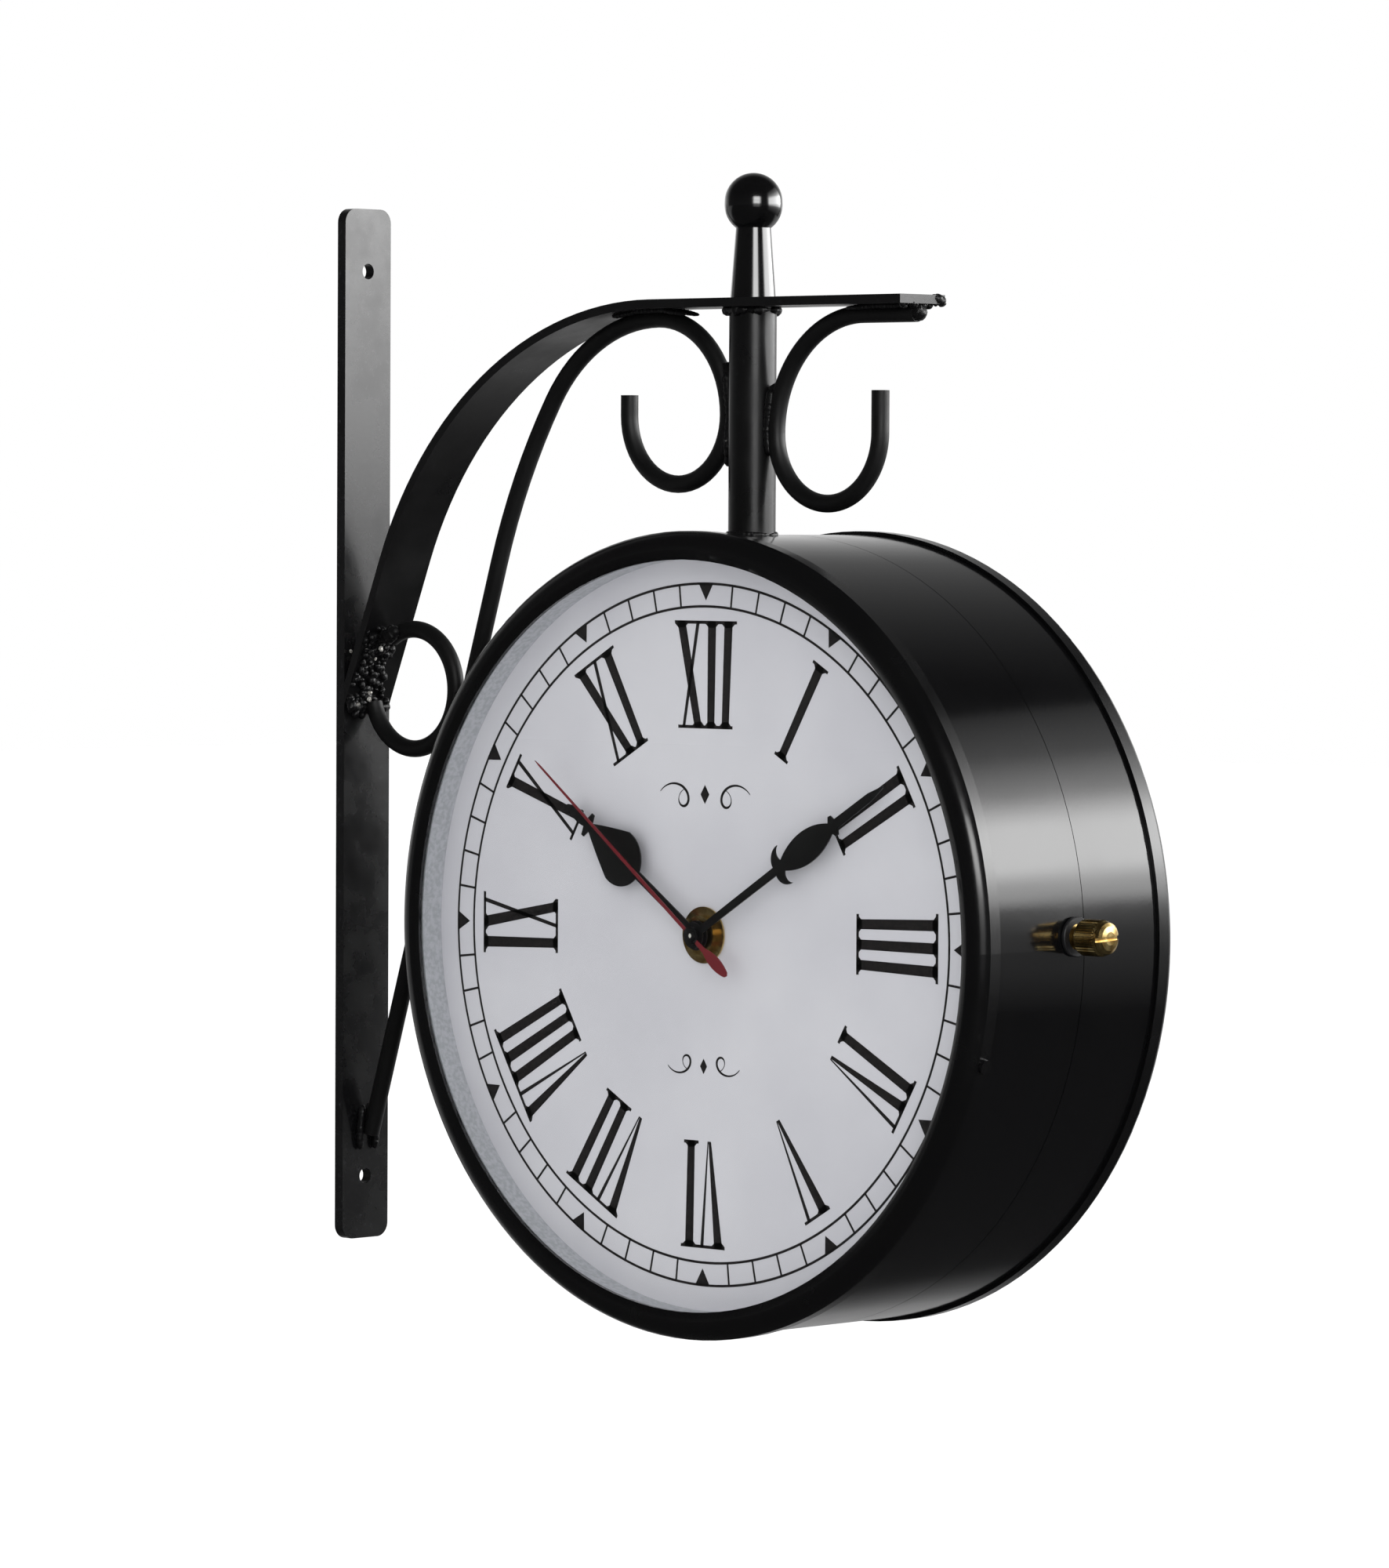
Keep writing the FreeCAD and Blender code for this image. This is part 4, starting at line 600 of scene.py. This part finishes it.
def buildBead(work, path, radii, rippleMm):
    # radii: one for each point of the path
    lengths = [0.0]
    for a, b in zip(path, path[1:]):
        lengths.append(lengths[-1] + (b - a).length)
    total, sides = lengths[-1], beadJob["sides"]
    count = max(beadJob["leastSteps"], int(total / (beadJob["stepMm"] * mm)))
    rings = []
    for i in range(count + 1):
        along = total * i / count
        k = max(j for j in range(len(path) - 1) if lengths[j] <= along + 1e-9)
        share = (along - lengths[k]) / max(lengths[k + 1] - lengths[k], 1e-9)
        centre = path[k].lerp(path[k + 1], min(share, 1))
        radius = radii[k] + (radii[k + 1] - radii[k]) * min(share, 1)
        heading = (path[k + 1] - path[k]).normalized()
        side = heading.orthogonal().normalized()
        up = heading.cross(side)
        ends = math.sqrt(max(beadJob["endShare"], 1 - (2 * i / count - 1) ** beadJob["blunt"]))
        wave = abs(math.sin(math.pi * along / (rippleMm * mm)))
        ripple = 1 + beadJob["ripple"] * wave + random.uniform(-beadJob["ringShare"], beadJob["ringShare"])
        ring = []
        for j in range(sides):
            angle = 2 * math.pi * j / sides
            uneven = 1 + random.uniform(-beadJob["pointShare"], beadJob["pointShare"])
            reach = radius * ends * ripple * uneven
            ring.append(work.verts.new(centre + (side * math.cos(angle) + up * math.sin(angle)) * reach))
        rings.append(ring)
    joinRings(work, rings)


def buildSpatter(work, centre, spread, count, size):
    for i in range(count):
        offset = Vector([random.uniform(-1, 1) * s for s in spread])
        radius = size * random.uniform(*spatterJob["size"])
        stretch = Matrix.Diagonal([random.uniform(*spatterJob["stretch"]) for k in range(3)]).to_4x4()
        spin = Matrix.Rotation(random.uniform(0, spatterJob["spin"]), 4, "X")
        lump = Matrix.Translation(centre + offset) @ spin @ stretch
        made = bmesh.ops.create_icosphere(work, subdivisions=2, radius=radius, matrix=lump)
        for vert in made["verts"]:
            dent = random.uniform(-spatterJob["dent"], spatterJob["dent"])
            vert.co += (vert.co - (centre + offset)) * dent


def millimetres(*points):
    return [Vector(point) * mm for point in points]


def addBead(name, path, radiusMm, rippleMm=1.6):
    # radiusMm: one radius, or one for each point of the path
    radii = [r * mm for r in radiusMm] if isinstance(radiusMm, tuple) else [radiusMm * mm] * len(path)
    addPiece(name, lambda work: buildBead(work, path, radii, rippleMm), weldPaint, "case_front")


def circlePath(centre, radius, normalAxis, start=0, end=360, steps=48):
    points = []
    for i in range(steps + 1):
        angle = math.radians(start + (end - start) * i / steps)
        a, b = radius * math.cos(angle), radius * math.sin(angle)
        offset = {"x": (0, a, b), "y": (a, 0, b), "z": (a, b, 0)}[normalAxis]
        points.append(Vector(centre) + Vector(offset))
    return [point * mm for point in points]


poleX, poleRadius = 191.0, 8.0
drumCrown, drumRadius = 68.25, 133.75
footLift = 0.2   # the bead's middle above the drum
# round the pole's foot the path drops to either side with the drum
saddle = []
for i in range(49):
    angle = math.radians(i * 7.5)
    x = poleRadius * math.cos(angle)
    z = drumCrown - x * x / (2 * drumRadius) + footLift
    saddle.append(Vector((poleX + x, poleRadius * math.sin(angle), z)) * mm)
addBead("poleFootWeld", saddle, 0.9)
addBead("poleTopWeld", circlePath((poleX, 0, 143.5), 8.4, "z"),
        tuple(1.35 + 0.45 * math.sin(i * 0.9) + 0.2 * math.sin(i * 2.3) for i in range(49)), 2.6)
# the hooks are run solid to the pole with filler rod: the wedge beside each tangent point is filled
addBead("hookWeb", millimetres((179.4, 0, 91.2), (181.2, 0.2, 96.0), (182.3, 0, 101.0), (182.9, 0, 108.4),
                               (182.3, -0.2, 115.6), (181.0, 0, 121.0), (179.0, 0.2, 126.2)),
        (2.3, 2.6, 1.9, 1.2, 1.9, 2.8, 2.4), 2.8)
addBead("endHookWeb", millimetres((200.2, 0, 94.2), (199.4, 0.1, 98.2), (199.1, 0, 102.5),
                                  (199.5, 0, 108.0), (200.4, 0.2, 113.0), (202.0, 0, 119.0)),
        (1.5, 1.6, 1.2, 1.8, 2.6, 2.3), 2.8)
# beads along both flanks of the rods
for name, y in (("Near", -3.2), ("Far", 3.2)):
    addBead("hookWeld" + name,
            millimetres((181.0, y * 0.6, 94.0), (182.2, y * 0.62, 108.6), (180.6, y * 0.6, 123.0)),
            (1.5, 1.2, 1.7), 2.4)
    addBead("endHookWeld" + name,
            millimetres((200.4, y * 0.6, 95.0), (199.8, y * 0.62, 103.0), (201.4, y * 0.6, 117.0)),
            (1.3, 1.2, 1.7), 2.4)
    addBead("longTopWeld" + name,
            millimetres((128, y, 142.0), (140, y, 143.8), (152, y, 144.0), (163, y, 142.4)), 0.9)
    addBead("endRunWeld" + name, millimetres((236, y, 143.3), (250, y, 143.9), (263, y, 143.9)), 0.9)
    addBead("ringRodWeld" + name,
            millimetres((50.2, y * 0.7, 1.5), (51.2, y * 0.7, 7.3), (52.6, y * 0.7, 13.0)), 1.3)
    addBead("rodFootWeld" + name,
            millimetres((5.0, y * 1.1, -150.5), (5.6, y * 1.25, -143.5), (6.4, y * 1.1, -134.5)), 1.2)
addBead("archFootUpper", millimetres((4.6, -10.2, 15.9), (4.6, 0, 16.1), (4.6, 10.2, 15.9)), 1.7, 2.1)
addBead("archFootLower", millimetres((4.8, -10.2, 6.2), (4.8, 0, 5.9), (4.8, 10.2, 6.2)), 1.8, 2.1)
addBead("ringStrapWeld", millimetres((5.0, -3.1, 2.0), (4.8, -3.3, 10.0), (5.0, -3.1, 22.0)), 1.6, 2.1)
addBead("ringArchWeld", millimetres((10.5, -3.2, 25.5), (13.2, -3.4, 28.5), (16.4, -3.2, 33.2)), 1.5, 2.1)
# the end of the arm: filler dripped over the far corner and over the end of the scroll rod
addBead("armTipDrip",
        millimetres((266.2, 5.4, 146.9), (266.9, 8.2, 146.2), (266.6, 10.6, 145.2), (266.0, 10.9, 143.6)),
        (0.9, 1.5, 1.7, 0.9), 1.9)
addBead("rodEndDrip", millimetres((265.2, -2.2, 142.9), (265.6, 0.2, 141.8), (265.2, 2.6, 140.2)),
        (2.2, 2.6, 2.0), 2.1)
# where the ring's upper end meets the arch, a thick lump hangs over the ring
addBead("ringEndLump", millimetres((16.0, -3.0, 29.5), (19.5, -3.4, 32.0), (23.5, -3.0, 34.2)),
        (1.8, 2.5, 1.6), 2.3)

# the arch's straight foot: the tangent of its lean, its x at one height, and where it leaves the strap
archFoot = {"lean": 0.404, "x": 7.6, "atHeight": 15, "from": 14}


def buildJointSpatter(work):
    # lumps all over the arch's straight foot, and heaped in the corner below it
    for i in range(110):
        z = random.uniform(4, 34)
        if z > archFoot["from"]:
            x = archFoot["x"] + archFoot["lean"] * (z - archFoot["atHeight"])
        else:
            x = random.uniform(4.6, 7.0)
        place = Vector((x, random.uniform(-10.4, 4.5), z)) * mm
        buildSpatter(work, place, [0.3 * mm] * 3, 1, 1.35 * mm)
    buildSpatter(work, Vector((6.0, 4.0, 13.0)) * mm, [1.0 * mm, 3.0 * mm, 8.0 * mm], 14, 1.1 * mm)
    buildSpatter(work, Vector((13.0, -3.2, 28.5)) * mm, [3.4 * mm, 1.6 * mm, 2.6 * mm], 14, 1.1 * mm)


addPiece("jointSpatter", buildJointSpatter, weldPaint, "case_front")


def buildTipSpatter(work):
    buildSpatter(work, Vector((265.3, 0, 144.2)) * mm, [1.4 * mm, 7.5 * mm, 0.7 * mm], 22, 0.95 * mm)
    buildSpatter(work, Vector((266.4, 8.6, 146.4)) * mm, [0.7 * mm, 2.2 * mm, 1.0 * mm], 12, 0.8 * mm)


addPiece("armTipSpatter", buildTipSpatter, weldPaint, "case_front")

# bare steel where slag was knocked off after painting, placed at glints on the joint, so partly painted
# highlight: (x, y, z, radius) in millimetres
bareGlintSpots = [(7.6, -5.4, 23.1, 1.1), (16.4, -5.0, 27.0, 1.3), (12.6, -6.2, 9.0, 1.5), (12.2, -6.4, 11.4, 0.9),
             (6.6, -6.6, 7.2, 0.9), (8.8, -5.2, 31.6, 0.9), (5.6, -9.4, 26.0, 0.8), (14.6, -6.0, 23.4, 0.7)]


def buildBareGlintSpots(work):
    for x, y, z, radius in bareGlintSpots:
        buildSpatter(work, Vector((x, y, z)) * mm, [0.35 * radius * mm] * 3, 4, 0.6 * radius * mm)


addPiece("bareGlintSpots", buildBareGlintSpots, plains["bareSteelGlint"], "case_front", smooth=False)
print("welds laid")


# thumbscrew: turned brass, straight knurl, domed end with a driver slot. Millimetres, slotTurn in degrees
thumbSizes = {"shank": 2.0, "collar": 4.2, "neck": 3.1, "head": 6.0, "knurl": 0.32, "teeth": 36, "slot": 1.4,
              "slotDepth": 2.0, "slotTurn": 4, "seat": 0.05}
thumbLow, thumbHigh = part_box("thumb_screw")
thumbY, thumbZ = (thumbLow.y + thumbHigh.y) / 2, (thumbLow.z + thumbHigh.z) / 2


def aroundThumb(x, radius, angle):
    # x and radius in millimetres, about the screw's axis
    return (x * mm, thumbY + radius * mm * math.cos(angle), thumbZ + radius * mm * math.sin(angle))


def buildThumbscrew(work):
    t = thumbSizes
    start, end = thumbLow.x / mm, thumbHigh.x / mm
    shoulder = poleX + drumRadius + t["seat"]
    # (x, radius, knurled): shank, collar, neck, knurled head and dome
    profile = [(start, 0.01, 0), (start, t["shank"] - 0.3, 0), (start + 0.3, t["shank"], 0),
               (shoulder, t["shank"], 0), (shoulder, t["collar"], 0), (shoulder + 1.2, t["collar"], 0),
               (shoulder + 1.7, t["neck"], 0), (shoulder + 3.4, t["neck"], 0), (shoulder + 4.0, 4.6, 0),
               (shoulder + 4.4, t["head"] - 0.35, 0), (shoulder + 4.9, t["head"], 1),
               (end - 3.4, t["head"], 1), (end - 2.9, t["head"] - 0.35, 0),
               (end - 2.5, t["head"] - 0.6, 0), (end - 2.0, t["head"] - 0.5, 0),
               (end - 1.0, t["head"] - 0.9, 0), (end - 0.35, t["head"] - 2.0, 0), (end - 0.05, 2.2, 0),
               (end, 0.01, 0)]
    sides = t["teeth"] * 4
    rings = []
    for x, radius, knurled in profile:
        ring = []
        for j in range(sides):
            angle = 2 * math.pi * j / sides
            depth = t["knurl"] if knurled and j % 4 in (0, 1) else 0
            ring.append(work.verts.new(aroundThumb(x, radius - depth, angle)))
        rings.append(ring)
    joinRings(work, rings)


def cutSlot(screw):
    # the slot's cutter is a block across the whole head
    slotTool = addObject("slotTool", bpy.data.meshes.new("slotTool"))
    size = Matrix.Diagonal((2 * thumbSizes["slotDepth"] * mm, 20 * mm, thumbSizes["slot"] * mm, 1))
    turn = Matrix.Rotation(math.radians(thumbSizes["slotTurn"]), 4, "X")
    work = bmesh.new()
    place = Matrix.Translation((thumbHigh.x, thumbY, thumbZ))
    bmesh.ops.create_cube(work, size=1.0, matrix=place @ turn @ size)
    work.to_mesh(slotTool.data)
    work.free()
    cut = screw.modifiers.new("slot", "BOOLEAN")
    cut.operation = "DIFFERENCE"
    cut.object = slotTool
    cut.solver = "EXACT"
    bpy.context.view_layer.update()
    carved = bpy.data.meshes.new_from_object(screw.evaluated_get(bpy.context.evaluated_depsgraph_get()))
    screw.modifiers.clear()
    screw.data = carved
    bpy.data.objects.remove(slotTool)


thumb = addPiece("thumbscrew", buildThumbscrew, screwBrass, "thumb", smooth=False)
cutSlot(thumb)
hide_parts("thumb_screw")

# black ring round the collar, with its outer edge rounded: painted shade and reflection, standing in for the
# head's dark reflection and shadow on the glossy drum
shadeRingSizes = {"inner": 4.3, "outer": 6.6, "thick": 1.5, "round": 0.3, "sides": 72}


def buildThumbShadeRing(work):
    w = shadeRingSizes
    back = poleX + drumRadius
    front, rim = back + w["thick"], w["outer"] - w["round"]
    section = [(back, w["inner"]), (back, rim), (back + w["round"], w["outer"]),
               (front - w["round"], w["outer"]), (front, rim), (front, w["inner"])]
    rings = []
    for i in range(w["sides"]):
        angle = 2 * math.pi * i / w["sides"]
        rings.append([work.verts.new(aroundThumb(x, radius, angle)) for x, radius in section])
    joinRings(work, rings, loop=True)


# a dark ring put where the drum shows only the head's reflection and shadow: painted shade
addPiece("thumbShadeRing", buildThumbShadeRing, plains["mouldedAbs"], "case_front",
         smooth=False)
print("thumbscrew turned")


# stage

# camera: place in millimetres, angles in degrees, focal length in pixels of the photograph's height
cameraView = {"place": (1869.1, -1776.5, 75.7), "heading": 43.81, "dip": 2.14, "roll": 0.29,
              "focalPx": 9279, "heightPx": 2000, "sensorMm": 36, "seesTo": 50}
camera = addObject("camera", bpy.data.cameras.new("camera"))
heading, dip, roll = (math.radians(cameraView[key]) for key in ("heading", "dip", "roll"))
forward = Vector((-math.sin(heading) * math.cos(dip), math.cos(heading) * math.cos(dip), -math.sin(dip)))
right = Vector((math.cos(heading), math.sin(heading), 0))
up = right.cross(forward)
rolledRight = right * math.cos(roll) + up * math.sin(roll)
rolledUp = up * math.cos(roll) - right * math.sin(roll)
axes = Matrix((rolledRight, rolledUp, -forward)).transposed().to_4x4()
camera.matrix_world = Matrix.Translation(Vector(cameraView["place"]) * mm) @ axes
camera.data.sensor_width = cameraView["sensorMm"]
camera.data.lens = cameraView["focalPx"] / cameraView["heightPx"] * cameraView["sensorMm"]
camera.data.clip_end = cameraView["seesTo"]
bpy.context.scene.camera = camera

# lamps: direction from the drum, then distance and size in metres, and the radiance of the panel. They light
# the colours, and reflections don't show them: the cards below stand for them there
lamps = {
    "sidePanel": {"towards": (0.72, 0.66, 0.27), "distance": 1.5, "size": (1.7, 0.62), "radiance": 1.2},
    "keyPanel": {"towards": (0.80, -0.60, 0.26), "distance": 2.0, "size": (0.8, 0.6), "radiance": 3.0},
    "topPanel": {"towards": (-0.1, 0.45, 1.0), "distance": 1.5, "size": (1.6, 0.9), "radiance": 0.7},
}
lampTint = "#FBFAFF"
for name, lamp in lamps.items():
    light = bpy.data.lights.new(name, "AREA")
    light.shape = "RECTANGLE"
    light.size, light.size_y = lamp["size"]
    light.energy = lamp["radiance"] * math.pi * light.size * light.size_y
    light.color = hexColour(lampTint)[:3]
    holder = addObject(name, light)
    direction = Vector(lamp["towards"]).normalized()
    holder.location = drumCentre + direction * lamp["distance"]
    holder.rotation_euler = direction.to_track_quat("Z", "Y").to_euler()
    holder.visible_glossy = False

# cards: what the gloss mirrors in place of the lamps. Each is upright, lit unevenly and seen by glossy rays
# alone, so it makes the sheen and throws no other light on the clock. profile: height in metres and radiance
cards = {
    "sideCard": {"azimuth": 50, "distance": 1.5, "width": 2.5, "edge": 0.35,
                 "profile": [(-0.45, 0.05), (-0.08, 0.35), (0.055, 0.8), (0.115, 3.9), (0.19, 4.6),
                             (0.27, 8.0), (0.50, 7.8), (0.66, 2.6), (0.90, 0.7), (1.2, 0.2)]},
    "keyCard": {"azimuth": -34, "distance": 2.0, "width": 1.25, "edge": 0.3,
                "profile": [(-0.2, 0.3), (0.0, 0.8), (0.25, 1.7), (0.4, 8.0), (0.75, 8.5), (0.95, 0.4)]},
}


def makeCard(name, card):
    material, tree, place = newMaterial(name + "Light")
    angle = math.radians(card["azimuth"])
    outward = Vector((math.cos(angle), math.sin(angle), 0))
    along = Vector((-math.sin(angle), math.cos(angle), 0))
    centre = Vector((drumCentre.x, drumCentre.y, 0)) + outward * card["distance"]
    low, high = card["profile"][0][0], card["profile"][-1][0]
    most = max(level for height, level in card["profile"])
    z = addNode(tree, "SeparateXYZ", links={"Vector": place}).outputs["Z"]
    share = addNode(tree, "MapRange", {"From Min": low, "From Max": high}, {"Value": z})
    stops = [((height - low) / (high - low), grey(value / most)) for height, value in card["profile"]]
    level = addNode(tree, "ValToRGB", {"stops": stops}, {"Fac": share.outputs["Result"]}).outputs["Color"]
    sideways = addNode(tree, "VectorMath", {"operation": "DOT_PRODUCT", 1: along}, {0: place})
    offset = addNode(tree, "Math", {"operation": "SUBTRACT", 1: centre.dot(along)},
                     {0: sideways.outputs["Value"]})
    reach = addNode(tree, "Math", {"operation": "ABSOLUTE"}, {0: offset.outputs[0]})
    half = card["width"] / 2
    fade = addNode(tree, "MapRange", {"From Min": half, "From Max": half - card["edge"], "To Max": most},
                   {"Value": reach.outputs[0]})
    glow = addNode(tree, "Emission", links={"Color": level, "Strength": fade.outputs["Result"]})
    addNode(tree, "OutputMaterial", links={"Surface": glow.outputs["Emission"]})
    mesh = bpy.data.meshes.new(name)
    corners = [centre + along * s * half + Vector((0, 0, height)) for s, height in
               ((-1, low), (1, low), (1, high), (-1, high))]
    mesh.from_pydata([tuple(corner) for corner in corners], [], [(0, 1, 2, 3)])
    mesh.materials.append(material)
    board = addObject(name, mesh)
    for kind in ("camera", "diffuse", "transmission", "shadow", "volume_scatter"):
        setattr(board, "visible_" + kind, False)


for name, card in cards.items():
    makeCard(name, card)


def sortRays(tree):
    # two outputs: 1 for rays that left gloss or glass, and 1 for rays straight from the camera
    path = addNode(tree, "LightPath")
    mirror = addNode(tree, "Math", {"operation": "MAXIMUM"},
                     {0: path.outputs["Is Glossy Ray"], 1: path.outputs["Is Transmission Ray"]})
    return mirror.outputs[0], path.outputs["Is Camera Ray"]


# the world: white to the eye. Gloss and glass show that white backdrop where it hangs, behind the clock, and
# the studio's black flags everywhere else, which is what keeps the paint black. The backdrop is lit from
# below, so a ray that rises sees less of it, down to the share high
worldLevels = {"seen": 1.0, "light": 0.92, "backdrop": 0.95, "flags": 0.04, "high": 0.35}
backdropTowards = (-0.68, 0.73, -0.15)
backdropEdge = {"From Min": 0.35, "From Max": 0.95}
backdropRise = {"From Min": 0.02, "From Max": 0.45}
world = bpy.data.worlds.new("studio")
bpy.context.scene.world = world
world.use_nodes = True
tree = world.node_tree
tree.nodes.clear()
mirrorRay, cameraRay = sortRays(tree)
direction = addNode(tree, "TexCoord").outputs["Generated"]
towards = addNode(tree, "VectorMath", {"operation": "DOT_PRODUCT", 1: backdropTowards}, {0: direction})
mirrored = addNode(tree, "MapRange", {**backdropEdge, "To Min": worldLevels["flags"],
                                      "To Max": worldLevels["backdrop"]}, {"Value": towards.outputs["Value"]})
height = addNode(tree, "SeparateXYZ", links={"Vector": direction}).outputs["Z"]
dimming = addNode(tree, "MapRange", {**backdropRise, "To Min": 1.0, "To Max": worldLevels["high"]},
                  {"Value": height})
mirrored = addNode(tree, "Math", {"operation": "MULTIPLY"},
                   {0: mirrored.outputs["Result"], 1: dimming.outputs["Result"]})
level = addNode(tree, "Mix", {"data_type": "FLOAT", "A": worldLevels["light"]},
                {"Factor": mirrorRay, "B": mirrored.outputs[0]})
level = addNode(tree, "Mix", {"data_type": "FLOAT", "B": worldLevels["seen"]},
                {"Factor": cameraRay, "A": level.outputs[0]})
backdrop = addNode(tree, "Background", {"Color": grey(1)}, {"Strength": level.outputs[0]})
addNode(tree, "OutputWorld", links={"Surface": backdrop.outputs["Background"]})

# pale floor, well below the clock; it glows a little to the eye, so that it reads white. In reflections the
# flags stand over it near the clock and open towards the backdrop: (metres that way, share hidden)
floorJob = {"height": -0.62, "half": 14.0, "colour": "#F2F2F2", "shade": "#EFEFEF", "speckleMm": 40,
            "glow": 0.3, "flagsNear": (0.42, 0.97), "flagsFar": (0.85, 0.55)}
floorMaterial, tree, place = newMaterial("paintedFloor")
speckle = addNode(tree, "TexNoise", {"Scale": perMetre(floorJob["speckleMm"]), "Detail": 4.0},
                  {"Vector": place})
stops = [(0.3, hexColour(floorJob["shade"])), (0.7, hexColour(floorJob["colour"]))]
shade = addNode(tree, "ValToRGB", {"stops": stops}, {"Fac": speckle.outputs["Fac"]}).outputs["Color"]
surface = addNode(tree, "BsdfPrincipled", {"Roughness": 0.9}, {"Base Color": shade})
flag = addNode(tree, "BsdfDiffuse", {"Color": grey(0)})
mirrorRay, cameraRay = sortRays(tree)
away = addNode(tree, "VectorMath", {"operation": "DOT_PRODUCT", 1: backdropTowards}, {0: place})
near, far = floorJob["flagsNear"], floorJob["flagsFar"]
flagShare = addNode(tree, "MapRange", {"From Min": near[0], "From Max": far[0], "To Min": near[1],
                                       "To Max": far[1]}, {"Value": away.outputs["Value"]})
flagged = addNode(tree, "Math", {"operation": "MULTIPLY"}, {0: mirrorRay, 1: flagShare.outputs["Result"]})
dimmed = addNode(tree, "MixShader", links={"Fac": flagged.outputs[0], 1: surface.outputs["BSDF"],
                                           2: flag.outputs["BSDF"]})
glowLevel = addNode(tree, "Math", {"operation": "MULTIPLY", 1: floorJob["glow"]}, {0: cameraRay})
glow = addNode(tree, "Emission", {"Color": grey(1)}, {"Strength": glowLevel.outputs[0]})
both = addNode(tree, "AddShader", links={0: dimmed.outputs["Shader"], 1: glow.outputs["Emission"]})
addNode(tree, "OutputMaterial", links={"Surface": both.outputs["Shader"]})
floorMesh = bpy.data.meshes.new("floor")
h = floorJob["half"]
floorMesh.from_pydata([(-h, -h, 0), (h, -h, 0), (h, h, 0), (-h, h, 0)], [], [(0, 1, 2, 3)])
floorMesh.materials.append(floorMaterial)
floor = addObject("floor", floorMesh)
floor.location = (0, 0, floorJob["height"])

bpy.context.scene.view_settings.view_transform = "Standard"
print("stage set")
